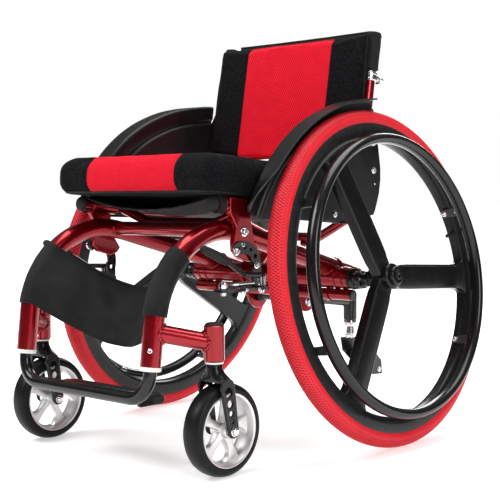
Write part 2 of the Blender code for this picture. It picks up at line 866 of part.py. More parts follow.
def build_back_upholstery(pivot):
    """A padded panel: its back lies between the canes, its lower front laps over their fronts."""
    front, wing, rear = -0.0265, -0.0155, 0.0120
    inner = CANE_X - 0.0150
    outer = CANE_X + 0.0060
    low, pad_top, cloth_top = 0.010, 0.232, 0.244
    fused = wing - 0.0020
    lap = [(-outer, front), (outer, front), (outer, wing), (-outer, wing)]
    core = [(-inner, fused), (inner, fused), (inner, rear), (-inner, rear)]
    panel = place("back_upholstery", plate(core, low, cloth_top, "Z"), "fabric_red", pivot)
    join(panel, plate(lap, low + 0.0010, pad_top, "Z"))


def build_backrest():
    pivot = pivot_empty("backrest_fold", at(0, *PIVOT), (-BACK_LEAN, 0, 0))
    for side, name in SIDES:
        build_back_post(side, name)
        build_back_cane(side, name, pivot)
        build_cane_clamp(side, name, pivot)
        build_cane_sleeve(side, name, pivot)
    build_back_upholstery(pivot)


# Seat and calf strap


def build_seat_sling():
    """The fabric seat, laid over the rails and sagging between them."""
    thick, sag = 0.0025, 0.028
    clear = RAIL_X - RAIL_R - 0.001  # where the fabric leaves a rail
    edges = [clear * i / 5 for i in range(-5, 6)]
    edges = [-RAIL_X - RAIL_R, -RAIL_X, *edges, RAIL_X, RAIL_X + RAIL_R]
    columns = []
    for back in (-0.333, -0.22, -0.11, -0.012):
        base = rail_height(back) + (RAIL_R + GAP) / cos(RAKE)
        row = []
        for x in edges:
            low = base - sag * max(0.0, 1 - (x / clear) ** 2)
            row.append((at(x, back, low), at(x, back, low + thick)))
        columns.append(row)
    place("seat_sling", slab(columns), "fabric_black")


def build_seat_cushion():
    """A plain cushion with rounded edges, lying on the sling in line with the rails."""
    length, half, height, round_r = 0.386, 0.198, 0.064, 0.016
    circles = []
    for a in (round_r, length - round_r):
        for b in (round_r, height - round_r):
            circles.append((a, b, round_r))
    cushion = plate(hull_outline(circles, 8), -half, half)
    front = -0.370
    base = rail_height(front) + (RAIL_R + GAP) / cos(RAKE) + 0.0025 + GAP
    cushion = moved(cushion, at(0, front, base), Matrix.Rotation(-RAKE, 4, "X"))
    place("seat_cushion", cushion, "fabric_red")


def leg_at(up):
    """The middle of the left main tube's front part at a height, and its direction there."""
    path = main_tube_path(1)
    for low, high in zip(path, path[1:]):
        if high.z >= up:
            share = (up - low.z) / (high.z - low.z)
            return low.lerp(high, share), (high - low).normalized()
    raise ValueError("the strap is above the knee")


def build_strap():
    """The calf strap: each end wraps the front of a leg tube, and the middle sags back."""
    thick = 0.003
    inner = FRAME_TUBE_R + 0.0020
    sag, drop = 0.085, 0.072
    columns = []
    for level in range(7):
        centre, along = leg_at(STRAP_Z[0] + (STRAP_Z[1] - STRAP_Z[0]) * level / 6)
        rear = Vector((0, along.z, -along.y))
        half = []  # (point, outward direction) from the left tube's rear to mid-strap
        for i in range(8):
            angle = radians(60 - 210 * i / 7)
            outward = Vector((1, 0, 0)) * cos(angle) + rear * sin(angle)
            half.append((centre + outward * inner, outward))
        leave = half[-1][0]
        for i in range(1, 7):
            share = i / 6
            shape = share * (2 - share)
            spot = leave + Vector((-leave.x * share, sag * shape, -drop * shape))
            outward = Vector((-2 * sag * (1 - share) / leave.x, -1, 0)).normalized()
            half.append((spot, outward))
        mirror = Vector((-1, 1, 1))
        half += [(spot * mirror, outward * mirror) for spot, outward in half[-2::-1]]
        columns.append([(spot, spot + outward * thick) for spot, outward in half])
    place("calf_strap", slab(columns), "fabric_black")


# Anti-tip caster

ANTI_TIP_STEM = 0.252
ANTI_TIP_WHEEL = (0.292, 0.090)
ANTI_TIP_R = 0.025


def build_anti_tip():
    """A centre arm clamped between the axle lobes, with a small swivelling wheel."""
    start = at(0, 0.030, 0.250)
    end = at(0, ANTI_TIP_STEM, 0.221)
    arm = place("anti_tip_arm", cylinder(start, end, 0.009, 12), "black_metal")
    cross = at(0, 0.030, 0.250)
    reach = Vector((0.0585, 0, 0))
    barrel = cylinder(at(0, ANTI_TIP_STEM, 0.184), at(0, ANTI_TIP_STEM, 0.236), 0.0145, 14)
    join(arm, cylinder(cross - reach, cross + reach, 0.010, 12), barrel)
    cut(arm, cylinder(at(0, ANTI_TIP_STEM, 0.170), at(0, ANTI_TIP_STEM, 0.222), 0.0068, 12))

    swivel = pivot_empty("anti_tip_swivel", at(0, ANTI_TIP_STEM, 0))
    trail = ANTI_TIP_WHEEL[0] - ANTI_TIP_STEM
    top = 0.146
    stem = [
        (top - 0.002, 0),
        (top - 0.002, 0.0115),
        (top + 0.008, 0.0115),
        (top + 0.010, 0.0085),
        (0.1720, 0.0085),
        (0.1720, 0.0125),
        (0.1835, 0.0125),
        (0.1835, 0.0060),
        (0.2190, 0.0060),
        (0.2190, 0),
    ]
    fork = place("anti_tip_fork", lathe(stem, 14, axis="Z"), "black_metal", swivel)
    outline = [(-0.014, top), (0.022, top), (0.092, 0.088), (0.096, 0.058), (0.062, 0.060)]
    outline.append((-0.008, 0.118))
    shapes = [block((-0.0155, -0.014, top - 0.004), (0.0155, 0.022, top))]
    for leg in (-1, 1):
        shapes.append(plate(outline, leg * 0.0125, leg * 0.0155))
    shapes.append(cylinder((-0.020, trail, ANTI_TIP_WHEEL[1]), (0.020, trail, ANTI_TIP_WHEEL[1]), 0.004, 10))
    shapes.append(cylinder((-0.018, 0.084, 0.070), (0.018, 0.084, 0.070), 0.004, 8))
    join(fork, *shapes)

    hub = pivot_empty("anti_tip_hub", at(0, *ANTI_TIP_WHEEL))
    tyre = [(-0.010, 0.0043), (-0.010, 0.022), (-0.007, ANTI_TIP_R), (0.007, ANTI_TIP_R)]
    tyre += [(0.010, 0.022), (0.010, 0.0043)]
    place("anti_tip_wheel", lathe(tyre, 20), "rubber_black", hub)


def main():
    clear_scene()
    hubs = build_hub_empties()
    build_frame(hubs)
    build_footrest()
    build_drive_wheels(hubs)
    build_casters()
    build_brakes()
    build_backrest()
    build_seat_sling()
    build_seat_cushion()
    build_strap()
    build_anti_tip()


main()
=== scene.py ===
"""Looks of the rigid sports wheelchair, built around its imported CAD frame.

Metres, +Z up. The chair faces -Y and +X is the sitter's left. "Back" runs along +Y from the
drive wheels' axle line. "Local" shapes are turned about X and then placed by a matrix.
"""

import json
from math import acos, atan2, cos, exp, pi, radians, sin, tan

import bmesh
import bpy
import numpy as np
from mathutils import Matrix, Vector, noise


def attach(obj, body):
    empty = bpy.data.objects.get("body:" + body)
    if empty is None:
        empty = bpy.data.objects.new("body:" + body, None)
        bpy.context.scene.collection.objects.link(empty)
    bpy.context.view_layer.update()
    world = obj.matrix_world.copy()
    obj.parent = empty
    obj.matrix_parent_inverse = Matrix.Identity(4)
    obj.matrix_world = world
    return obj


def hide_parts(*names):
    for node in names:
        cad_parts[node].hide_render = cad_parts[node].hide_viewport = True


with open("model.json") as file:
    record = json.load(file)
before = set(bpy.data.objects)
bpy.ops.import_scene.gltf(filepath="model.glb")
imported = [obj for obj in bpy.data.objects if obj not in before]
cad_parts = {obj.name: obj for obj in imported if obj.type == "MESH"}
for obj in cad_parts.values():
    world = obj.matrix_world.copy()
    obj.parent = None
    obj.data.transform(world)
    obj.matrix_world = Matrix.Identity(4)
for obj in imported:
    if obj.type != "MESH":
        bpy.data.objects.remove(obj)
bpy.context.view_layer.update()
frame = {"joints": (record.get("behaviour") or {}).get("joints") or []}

JOINTS = {joint["name"]: joint for joint in frame["joints"]}
SIDES = ((1, "left"), (-1, "right"))


def joint_at(name):
    return Vector(JOINTS[name]["pos_m"])


# Driving dimensions, repeated from the CAD source
HUB = joint_at("left_wheel_spin")
AXLE_Y = HUB.y
HUB_X = HUB.x
HUB_Z = HUB.z
CAMBER = radians(8.25)
TYRE_HALF = 0.0165
TREAD_CENTRE = (HUB_Z - TYRE_HALF) / cos(CAMBER)  # of the round tyre that just meets the floor
SPOKE_HALF = 0.023
WHEEL_PHASE = {1: radians(-3), -1: radians(-30)}
# the depth under the crown at which the tyre's painted groove shade is full
GROOVE_DEPTH = 0.0011
HANDRIM_R = 0.2459
HANDRIM_OFFSET = 0.040

CASTER_R = 0.0763
CASTER_HALF = 0.0188
CASTER_HUB = joint_at("left_caster_spin")
CASTER_X = CASTER_HUB.x
CASTER_Z = CASTER_HUB.z
STEM_BACK = joint_at("left_caster_swivel").y - AXLE_Y
CASTER_BACK = CASTER_HUB.y - AXLE_Y
HOUSING_Z = (0.188, 0.245)

FRAME_TUBE_R = 0.017
LEG_X = 0.162
LEG_BOTTOM = (-0.470, 0.181)
LEG_LEAN = radians(7)
REAR_SLOPE = radians(15.3)
REAR_LINE_Z = 0.316
KNEE_R = 0.163
REAR_END = (0.146, 0.080)

RAIL_R = 0.0125
RAIL_X = 0.170
RAIL_FRONT = (-0.333, 0.436)
RAIL_REAR = (-0.008, 0.4121)
RAKE = atan2(RAIL_FRONT[1] - RAIL_REAR[1], RAIL_REAR[0] - RAIL_FRONT[0])

AXLE_TUBE_R = 0.020
AXLE_TUBE_Z = 0.296
AXLE_TUBE_X = 0.199

CANE_R = 0.011
CANE_X = 0.184
BACK_LEAN = radians(9.9)
PIVOT = joint_at("backrest_fold")
CANE_TOP = 0.171
SLEEVE = (0.174, 0.248)

GUARD_X = 0.2035
GUARD_RADII = ((157, 0.319), (110, 0.3165), (97, 0.319), (88.6, 0.323), (81.4, 0.330))
GUARD_RISE = {1: 0.0, -1: 0.010}

FOOT_R = 0.011
FOOT_BAR_Z = 0.128
FOOT_BEND_R = 0.042

BRAKE_BASE_Z = 0.2970
LEVER_PIVOT = (0.204, -0.255)
SHOE_PIVOT = (0.197, -0.340)
SHOE_LENGTH = 0.072

ANTI_TIP_STEM = 0.252
ANTI_TIP_WHEEL = (0.292, 0.090)
ANTI_TIP_R = 0.025


# Camera


def make_camera():
    """The view of the chair from its front left, with a long lens."""
    data = bpy.data.cameras.new("camera")
    data.lens = 81.28
    data.sensor_width = 36
    data.shift_y = 0.0194
    data.clip_end = 50
    camera = bpy.data.objects.new("camera", data)
    right = Vector((0.735124, 0.677906, -0.006058))
    up = Vector((-0.033695, 0.045461, 0.998398))
    back = right.cross(up)
    turn = Matrix((right, up, back)).transposed()
    camera.matrix_world = Matrix.Translation((1.4724, AXLE_Y - 1.6579, 0.4487)) @ turn.to_4x4()
    bpy.context.scene.collection.objects.link(camera)
    bpy.context.scene.camera = camera


make_camera()


# Materials


class Graph:
    """A small wrapper for building one material's nodes."""

    def __init__(self, name, **constants):
        self.material = bpy.data.materials.new(name)
        self.material.use_nodes = True
        self.tree = self.material.node_tree
        self.shader = self.tree.nodes["Principled BSDF"]
        for socket, value in constants.items():
            self.shader.inputs[socket.replace("_", " ")].default_value = value
        self.position = self.tree.nodes.new("ShaderNodeTexCoord").outputs["Object"]

    def add(self, kind, **settings):
        node = self.tree.nodes.new(f"ShaderNode{kind}")
        for key, value in settings.items():
            if key in node.inputs:
                node.inputs[key].default_value = value
            else:
                setattr(node, key, value)
        return node

    def link(self, source, target):
        self.tree.links.new(source, target)

    def math(self, operation, *values):
        node = self.add("Math", operation=operation)
        for index, value in enumerate(values):
            if isinstance(value, (int, float)):
                node.inputs[index].default_value = value
            else:
                self.link(value, node.inputs[index])
        return node.outputs[0]

    def times(self, first, second):
        return self.math("MULTIPLY", first, second)

    def plus(self, first, second):
        return self.math("ADD", first, second)

    def length(self, first, second):
        """The length of the vector (first, second)."""
        return self.math("SQRT", self.plus(self.times(first, first), self.times(second, second)))

    def noise(self, scale, detail=4.0):
        node = self.add("TexNoise", Scale=scale, Detail=detail, Roughness=0.55)
        self.link(self.position, node.inputs["Vector"])
        return node.outputs["Fac"]

    def turned(self, rotation):
        node = self.add("Mapping", Rotation=rotation)
        self.link(self.position, node.inputs["Vector"])
        return node.outputs[0]

    def ramp(self, factor, *stops):
        node = self.add("ValToRGB")
        elements = node.color_ramp.elements
        while len(elements) < len(stops):
            elements.new(0.5)
        for element, (place, colour) in zip(elements, stops):
            element.position = place
            element.color = (*colour, 1)
        self.link(factor, node.inputs["Fac"])
        return node.outputs["Color"]

    def mix(self, factor, first, second):
        node = self.add("Mix", data_type="RGBA")
        self.link(factor, node.inputs["Factor"])
        for value, socket in ((first, node.inputs[6]), (second, node.inputs[7])):
            if isinstance(value, tuple):
                socket.default_value = (*value, 1)
            else:
                self.link(value, socket)
        return node.outputs[2]

    def span(self, value, low, high):
        node = self.add("MapRange")
        node.inputs["To Min"].default_value = low
        node.inputs["To Max"].default_value = high
        self.link(value, node.inputs["Value"])
        return node.outputs[0]

    def colour(self, value):
        self.link(value, self.shader.inputs["Base Color"])

    def rough(self, value):
        self.link(value, self.shader.inputs["Roughness"])

    def bump(self, height, strength, distance):
        node = self.add("Bump", Strength=strength, Distance=distance)
        self.link(height, node.inputs["Height"])
        self.link(node.outputs[0], self.shader.inputs["Normal"])

    def rubbed_and_highlit_edges(self, base, edge, amount):
        """Lightens sharp outer edges, partly as rubbed wear where handling rubs them and partly as a painted
        highlight.
        """
        geometry = self.add("NewGeometry")
        sharp = self.ramp(geometry.outputs["Pointiness"], (0.52, (0, 0, 0)), (0.60, (1, 1, 1)))
        patchy = self.times(sharp, self.span(self.noise(90), 0.0, amount))
        return self.mix(patchy, base, edge)


def solid_finish(name, dark, light, rough, metallic, coat=0.0, grain=400, bump=0.0, edge=None,
                 specular=0.32):
    """A coated, moulded or metal surface with mottled colour and uneven gloss; an edge colour lightens its
    sharp edges as wear and painted highlight.
    """
    graph = Graph(name, Metallic=metallic, Coat_Weight=coat, Coat_Roughness=0.10,
                  Specular_IOR_Level=specular)
    base = graph.ramp(graph.noise(38, 6), (0.3, dark), (0.7, light))
    # Lighter edges: rubbed wear and a painted highlight
    if edge:
        base = graph.rubbed_and_highlit_edges(base, edge, 0.9)
    graph.colour(base)
    graph.rough(graph.span(graph.noise(70, 5), *rough))
    if bump:
        graph.bump(graph.noise(grain, 3), bump, 0.0004)
    return graph.material


def red_paint():
    """Candy red over metal flake, under clear coat."""
    graph = Graph("red_paint", Metallic=0.84, Coat_Weight=0.45, Coat_Roughness=0.06)
    flake = graph.add("TexVoronoi", Scale=2600.0)
    graph.link(graph.position, flake.inputs["Vector"])
    base = graph.ramp(graph.noise(14, 3), (0.3, (0.225, 0.0004, 0.005)), (0.7, (0.28, 0.0010, 0.008)))
    spark = graph.ramp(flake.outputs["Color"], (0.2, (0.18, 0.0005, 0.004)), (0.9, (0.50, 0.008, 0.02)))
    mixed = graph.mix(graph.times(graph.noise(900), 0.45), base, spark)
    # Pinkish edges: rubbed wear and a painted highlight
    graph.colour(graph.rubbed_and_highlit_edges(mixed, (0.50, 0.05, 0.06), 0.2))
    graph.rough(graph.span(graph.noise(60, 4), 0.20, 0.30))
    graph.bump(flake.outputs["Distance"], 0.04, 0.0002)
    return graph.material


def mesh_fabric(name, pitch, band, low=-1.0):
    """Knitted air mesh: slanting ribs of small cells. It is black beyond |x| = band and below z = low."""
    graph = Graph(name, Sheen_Weight=0.02, Sheen_Roughness=0.5, Specular_IOR_Level=0.04)
    cells = []
    for angle in (0.55, -0.62):
        wave = graph.add("TexWave", Scale=1.0 / pitch / 3.1, Distortion=1.6, Detail=1.0)
        wave.inputs["Detail Scale"].default_value = 0.6
        graph.link(graph.turned((0.35, angle, 0.5 * angle)), wave.inputs["Vector"])
        cells.append(wave.outputs["Fac"])
    weave = graph.math("MAXIMUM", cells[0], graph.times(cells[1], 0.72))
    tone = graph.plus(graph.times(weave, 0.72), graph.times(graph.noise(55, 5), 0.32))
    red = graph.ramp(tone, (0.18, FABRIC_RED[0]), (0.72, FABRIC_RED[1]))
    cell = graph.add("TexVoronoi", Scale=1.0 / pitch * 1.4)
    graph.link(graph.position, cell.inputs["Vector"])
    knit = graph.plus(graph.times(cell.outputs["Distance"], 1.1), graph.times(graph.noise(60, 4), 0.25))
    black = graph.ramp(knit, (0.25, FABRIC_BLACK[1]), (0.85, FABRIC_BLACK[0]))
    parts = graph.add("SeparateXYZ")
    graph.link(graph.position, parts.inputs[0])
    beside = graph.math("GREATER_THAN", graph.math("ABSOLUTE", parts.outputs["X"]), band)
    beneath = graph.math("LESS_THAN", parts.outputs["Z"], low)
    graph.colour(graph.mix(graph.math("MAXIMUM", beside, beneath), red, black))
    graph.rough(graph.span(weave, 0.97, 0.80))
    graph.bump(graph.math("SUBTRACT", graph.times(weave, 0.35), knit), 0.45, 0.0010)
    return graph.material


def woven_fabric(name, dark, light):
    """Plain woven nylon, with soft creases painted into its tone as shade in their hollows and highlight on
    their ridges.
    """
    pitch = 0.0011
    graph = Graph(name, Sheen_Weight=0.03, Sheen_Roughness=0.40, Specular_IOR_Level=0.12)
    threads = []
    for rotation in ((0, 0, 0), (0, radians(90), 0)):
        wave = graph.add("TexWave", Scale=1.0 / pitch / 3.1, Distortion=0.4)
        graph.link(graph.turned(rotation), wave.inputs["Vector"])
        threads.append(wave.outputs["Fac"])
    weave = graph.times(*threads)
    crease = graph.noise(16, 5)
    # Painted shade and highlight: the crease noise that bumps the cloth also darkens and lightens its colour
    tone = graph.plus(graph.times(weave, 0.35), graph.times(crease, 0.8))
    graph.colour(graph.ramp(tone, (0.25, dark), (0.85, light)))
    graph.rough(graph.span(crease, 0.42, 0.66))
    graph.bump(graph.plus(weave, graph.times(crease, 2.0)), 0.4, 0.0008)
    return graph.material


def rubber_tread(name, dark, light, rough, specular=0.22):
    """Moulded rubber with a faint bloom and fine pores."""
    graph = Graph(name, Specular_IOR_Level=specular)
    graph.colour(graph.ramp(graph.noise(22, 6), (0.25, dark), (0.75, light)))
    graph.rough(graph.span(graph.noise(130, 5), *rough))
    graph.bump(graph.noise(900, 2), 0.12, 0.0003)
    return graph.material


def tread_red():
    """Red rubber with painted shade in the grooves of the tread, darker the deeper they lie under the crown.
    """
    graph = Graph("tyre_red", Specular_IOR_Level=0.25)
    parts = graph.add("SeparateXYZ")
    graph.link(graph.position, parts.inputs[0])
    across, y, z = parts.outputs
    rise = graph.math("SUBTRACT", graph.length(y, z), TREAD_CENTRE)
    depth = graph.math("SUBTRACT", TYRE_HALF, graph.length(across, rise))
    groove_shade = graph.ramp(graph.times(depth, 1 / GROOVE_DEPTH), (0.25, (0, 0, 0)), (0.95, (1, 1, 1)))
    bloom = graph.ramp(graph.noise(22, 6), (0.25, (0.60, 0.011, 0.022)), (0.75, (0.70, 0.016, 0.030)))
    # Painted shade: the grooves turn near black
    graph.colour(graph.mix(groove_shade, bloom, (0.10, 0.001, 0.003)))
    graph.rough(graph.span(graph.noise(130, 5), 0.44, 0.60))
    graph.bump(graph.noise(900, 2), 0.10, 0.0003)
    return graph.material


FABRIC_BLACK = ((0.0025, 0.0025, 0.003), (0.011, 0.0105, 0.012))
FABRIC_RED = ((0.30, 0.0015, 0.006), (0.66, 0.011, 0.028))
# The grey of rubbed edges on black finishes, partly a painted highlight
EDGE_WEAR_AND_HIGHLIGHT = (0.06, 0.06, 0.062)
SEAT_SEAM_X = 0.112  # where the red middle of the cushion ends
BACK_SEAM_X = 0.108

PAINT = red_paint()
TYRE_RED = tread_red()
TYRE_BLACK = rubber_tread("tyre_black", (0.004, 0.004, 0.004), (0.009, 0.009, 0.010), (0.32, 0.46), 0.14)
GRIP_RUBBER = rubber_tread("grip_rubber", (0.006, 0.006, 0.006), (0.016, 0.016, 0.017), (0.5, 0.72))
MOULDED = solid_finish("moulded_black", (0.0035, 0.0032, 0.0033), (0.008, 0.0074, 0.0076), (0.20, 0.30), 0.0,
                       coat=0.10, grain=900, bump=0.03, edge=EDGE_WEAR_AND_HIGHLIGHT, specular=0.20)
GUARD_SHELL = solid_finish("guard_shell", (0.004, 0.0035, 0.004), (0.009, 0.008, 0.009), (0.30, 0.42), 0.0,
                           coat=0.04, grain=500, bump=0.008, edge=(0.05, 0.05, 0.052), specular=0.20)
BLACK_COAT = solid_finish("black_coat", (0.0035, 0.0034, 0.0034), (0.007, 0.0068, 0.007), (0.16, 0.26), 0.0,
                          coat=0.15, grain=700, bump=0.02, edge=EDGE_WEAR_AND_HIGHLIGHT, specular=0.30)
SILVER = solid_finish("cast_silver", (0.62, 0.61, 0.61), (0.80, 0.79, 0.79), (0.36, 0.50), 1.0,
                      grain=800, bump=0.06, edge=(0.92, 0.92, 0.92))
CHROME = solid_finish("chrome", (0.66, 0.66, 0.68), (0.80, 0.80, 0.82), (0.10, 0.20), 1.0,
                      grain=300, bump=0.02)
NYLON = solid_finish("white_nylon", (0.70, 0.69, 0.64), (0.80, 0.79, 0.75), (0.35, 0.50), 0.0, bump=0.05)
SEAT_FABRIC = mesh_fabric("seat_mesh", 0.0042, SEAT_SEAM_X, low=0.0042)
BACK_FABRIC = mesh_fabric("back_mesh", 0.0044, BACK_SEAM_X)
WEBBING = woven_fabric("nylon_web", (0.0045, 0.0045, 0.005), (0.021, 0.021, 0.022))
SEAM_RED = woven_fabric("red_seam", (0.20, 0.001, 0.005), (0.42, 0.006, 0.016))
WELT = woven_fabric("black_welt", (0.003, 0.003, 0.0035), (0.010, 0.010, 0.011))


# The record's material slot of each finish, where a piece doesn't name another
SLOTS = {
    PAINT: "frame_red",
    TYRE_RED: "tyre_red",
    TYRE_BLACK: "rubber_black",
    MOULDED: "black_plastic",
    GUARD_SHELL: "black_plastic",
    BLACK_COAT: "black_metal",
    SILVER: "silver",
    WEBBING: "fabric_black",
    SEAM_RED: "fabric_red",
    WELT: "fabric_black",
}


# Mesh helpers


SHARP = 38  # degrees between two faces, from which their edge is kept sharp


def at(x, back, up):
    return Vector((x, AXLE_Y + back, up))


def loft(rings, loop=False):
    """Skins a row of rings of points. A loop joins the last ring to the first."""
    bm = bmesh.new()
    made = [[bm.verts.new(point) for point in ring] for ring in rings]
    pairs = list(zip(made, made[1:]))
    if loop:
        pairs.append((made[-1], made[0]))
    for first, second in pairs:
        count = len(first)
        for i in range(count):
            j = (i + 1) % count
            bm.faces.new((first[i], first[j], second[j], second[i]))
    if not loop:
        bm.faces.new(made[0])
        bm.faces.new(made[-1])
    return bm


def around(count, start=0.0):
    """The angles of evenly spaced points on a circle."""
    return [start + 2 * pi * k / count for k in range(count)]


def sweep(path, radii, sides=24, loop=False):
    """A round bar along a path, with one radius or one for each point."""
    if isinstance(radii, (int, float)):
        radii = [radii] * len(path)
    normal = None
    rings = []
    last = len(path) - 1
    for i, point in enumerate(path):
        ahead = path[(i + 1) % len(path) if loop else min(i + 1, last)] - point
        behind = point - path[i - 1 if loop else max(i - 1, 0)]
        tangent = (ahead.normalized() + behind.normalized()).normalized()
        if normal is None:
            normal = tangent.orthogonal().normalized()
        normal = (normal - tangent * normal.dot(tangent)).normalized()
        across = tangent.cross(normal)
        rings.append([point + (normal * cos(angle) + across * sin(angle)) * radii[i]
                      for angle in around(sides)])
    return loft(rings, loop)


def lathe(profile, segments=64, side=1, axis="X"):
    """Turns (along, radius) points about X, Y or Z. A radius of 0 closes an end."""
    bm = bmesh.new()
    rings = []
    order = {"X": (0, 1, 2), "Y": (2, 0, 1), "Z": (1, 2, 0)}[axis]
    for along, radius in profile:
        ring = []
        for k in range(segments if radius > 0 else 1):
            angle = 2 * pi * (k + 0.5) / segments - pi / 2
            spot = (side * along, radius * cos(angle), radius * sin(angle))
            ring.append(bm.verts.new([spot[i] for i in order]))
        rings.append(ring)
    pairs = list(zip(rings, rings[1:]))
    if profile[0][1] > 0:
        pairs.append((rings[-1], rings[0]))
    for first, second in pairs:
        for k in range(segments):
            j = (k + 1) % segments
            if len(first) == 1:
                bm.faces.new((first[0], second[k], second[j]))
            elif len(second) == 1:
                bm.faces.new((second[0], first[k], first[j]))
            else:
                bm.faces.new((first[k], first[j], second[j], second[k]))
    return bm


def softened(profile, radius=0.001, steps=3):
    """A turned profile with each inner corner rounded, so that its edges catch the light."""
    points = [Vector((a, b, 0)) for a, b in profile]
    route = [points[0]]
    for before, corner, after in zip(points, points[1:], points[2:]):
        reach = min(radius, (before - corner).length / 2.2, (after - corner).length / 2.2)
        start = corner + (before - corner).normalized() * reach
        end = corner + (after - corner).normalized() * reach
        for i in range(steps + 1):
            share = i / steps
            first = start.lerp(corner, share)
            route.append(first.lerp(corner.lerp(end, share), share))
    route.append(points[-1])
    return [(point.x, max(point.y, 0.0)) for point in route]


def stepped(start, *points):
    """A turned section whose points are measured from a start along the axis."""
    return [(start + step, radius) for step, radius in points]


def cross_bar(half, back, up, radius, sides):
    """A round bar along X, as long to either side."""
    return sweep([Vector((-half, back, up)), Vector((half, back, up))], radius, sides)


def square_ring(low, high, inner, outer):
    """The turned section of a plain ring."""
    return [(low, inner), (low, outer), (high, outer), (high, inner)]


def both_ways(half):
    """A turned section from one half of it, with the other half mirrored."""
    return half + [(-along, radius) for along, radius in reversed(half)]


def plate(outline, low, high, axis="X"):
    """Extrudes an outline, given in the two other axes, from low to high."""
    order = {"X": (2, 0, 1), "Y": (0, 2, 1), "Z": (0, 1, 2)}[axis]
    rings = []
    for level in (low, high):
        rings.append([[(a, b, level)[i] for i in order] for a, b in outline])
    return loft(rings)


def hull_outline(circles, steps=24):
    """The convex outline round several circles, each (a, b, radius)."""
    spots = []
    for a, b, radius in circles:
        spots += [(a + radius * cos(angle), b + radius * sin(angle)) for angle in around(steps)]
    spots.sort()
    halves = []
    for run in (spots, spots[::-1]):
        chain = []
        for spot in run:
            while len(chain) > 1 and turns_right(chain[-2], chain[-1], spot):
                chain.pop()
            chain.append(spot)
        halves += chain[:-1]
    return halves


def turns_right(a, b, c):
    return (b[0] - a[0]) * (c[1] - a[1]) - (b[1] - a[1]) * (c[0] - a[0]) <= 1e-9


def filleted(points, radius, steps=14):
    """The polyline with each inner corner rounded into an arc."""
    route = [points[0]]
    for before, corner, after in zip(points, points[1:], points[2:]):
        into = (before - corner).normalized()
        out = (after - corner).normalized()
        half = acos(max(-1.0, min(1.0, into.dot(out)))) / 2
        middle = corner + (into + out).normalized() * (radius / sin(half))
        start = corner + into * (radius / tan(half)) - middle
        end = corner + out * (radius / tan(half)) - middle
        turn = start.rotation_difference(end)
        for i in range(steps + 1):
            route.append(middle + Matrix.Rotation(turn.angle * i / steps, 3, turn.axis) @ start)
    route.append(points[-1])
    return route


def moved(bm, offset=(0, 0, 0), rotation=None):
    matrix = Matrix.Translation(offset)
    if rotation is not None:
        matrix = matrix @ rotation
    bm.transform(matrix)
    return bm


def merged(*shapes):
    """Several closed shapes in one mesh."""
    whole = bmesh.new()
    for shape in shapes:
        mesh = bpy.data.meshes.new("part")
        shape.to_mesh(mesh)
        shape.free()
        whole.from_mesh(mesh)
        bpy.data.meshes.remove(mesh)
    return whole


def mirrored(bm, side):
    if side < 0:
        bmesh.ops.scale(bm, vec=(-1, 1, 1), verts=bm.verts)
    return bm


def aimed(bm, place, direction):
    """Turns a shape made along +Z to point in a direction from a place."""
    turn = Vector((0, 0, 1)).rotation_difference(Vector(direction)).to_matrix().to_4x4()
    return moved(bm, place, turn)


def new_object(name, bm, material=None):
    """Puts a bmesh into the scene as an object, and frees it."""
    bmesh.ops.recalc_face_normals(bm, faces=bm.faces)
    mesh = bpy.data.meshes.new(name)
    bm.to_mesh(mesh)
    bm.free()
    if material:
        mesh.materials.append(material)
    obj = bpy.data.objects.new(name, mesh)
    bpy.context.scene.collection.objects.link(obj)
    return obj


def bevel_edges(obj, width, segments):
    modifier = obj.modifiers.new("edges", "BEVEL")
    modifier.width = width
    modifier.segments = segments
    modifier.limit_method = "ANGLE"
    modifier.angle_limit = radians(SHARP)


def bake(obj):
    """Replaces an object's mesh by what its modifiers make of it."""
    bpy.context.view_layer.update()
    graph = bpy.context.evaluated_depsgraph_get()
    mesh = bpy.data.meshes.new_from_object(obj.evaluated_get(graph))
    obj.modifiers.clear()
    obj.data = mesh


def piece(name, shape, material, body, stands_for=None, slot=None, bevel=0.0, place=None, smooth=SHARP,
          segments=2):
    """Makes a finished piece of one or more shapes. It rides on a CAD body and may stand for its node."""
    obj = new_object(name, merged(*shape) if isinstance(shape, list) else shape, material)
    obj.data.shade_smooth()
    obj.data.set_sharp_from_angle(angle=radians(smooth))
    if place is not None:
        obj.matrix_world = place
    if bevel:
        bevel_edges(obj, bevel, segments)
    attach(obj, body)
    if stands_for:
        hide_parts(stands_for)
    slot = SLOTS.get(material) if slot is None else slot
    return obj


def drilled(obj, *cutters):
    """Cuts closed shapes out of a piece, before its edges are bevelled."""
    tool = new_object("cutter", merged(*cutters))
    tool.matrix_world = obj.matrix_world
    held = [(modifier.width, modifier.segments) for modifier in obj.modifiers]
    obj.modifiers.clear()
    modifier = obj.modifiers.new("holes", "BOOLEAN")
    modifier.object = tool
    modifier.operation = "DIFFERENCE"
    modifier.use_self = True
    bake(obj)
    obj.data.set_sharp_from_angle(angle=radians(SHARP))
    bpy.data.objects.remove(tool)
    for width, segments in held:
        bevel_edges(obj, width, segments)


def bolt(place, direction, radius=0.0052, height=0.0042, washer=True):
    """A domed screw head with a socket, on a washer."""
    profile = [(0, 0)]
    base = 0.0009 if washer else 0.0
    if washer:
        profile += [(0, radius * 1.45), (base, radius * 1.45)]
    profile += [(base, radius), (base + height * 0.62, radius)]
    profile += [(base + height * 0.9, radius * 0.82), (base + height, radius * 0.55)]
    profile += [(base + height * 0.45, radius * 0.50), (base + height * 0.45, 0)]
    return aimed(lathe(softened(profile, 0.0004, 2), 28, axis="Z"), place, direction)


def bolts(name, body, spots, place=None):
    """Screws as one piece. A spot is (place, direction), then any radius, height and washer."""
    piece(name, merged(*[bolt(*spot) for spot in spots]), CHROME, body, slot="silver", place=place)


def distance_to(path, point):
    """From a point to the nearest place on a path."""
    best = 1e9
    for first, second in zip(path, path[1:]):
        along = second - first
        share = max(0.0, min(1.0, (point - first).dot(along) / along.length_squared))
        best = min(best, (first + along * share - point).length)
    return best


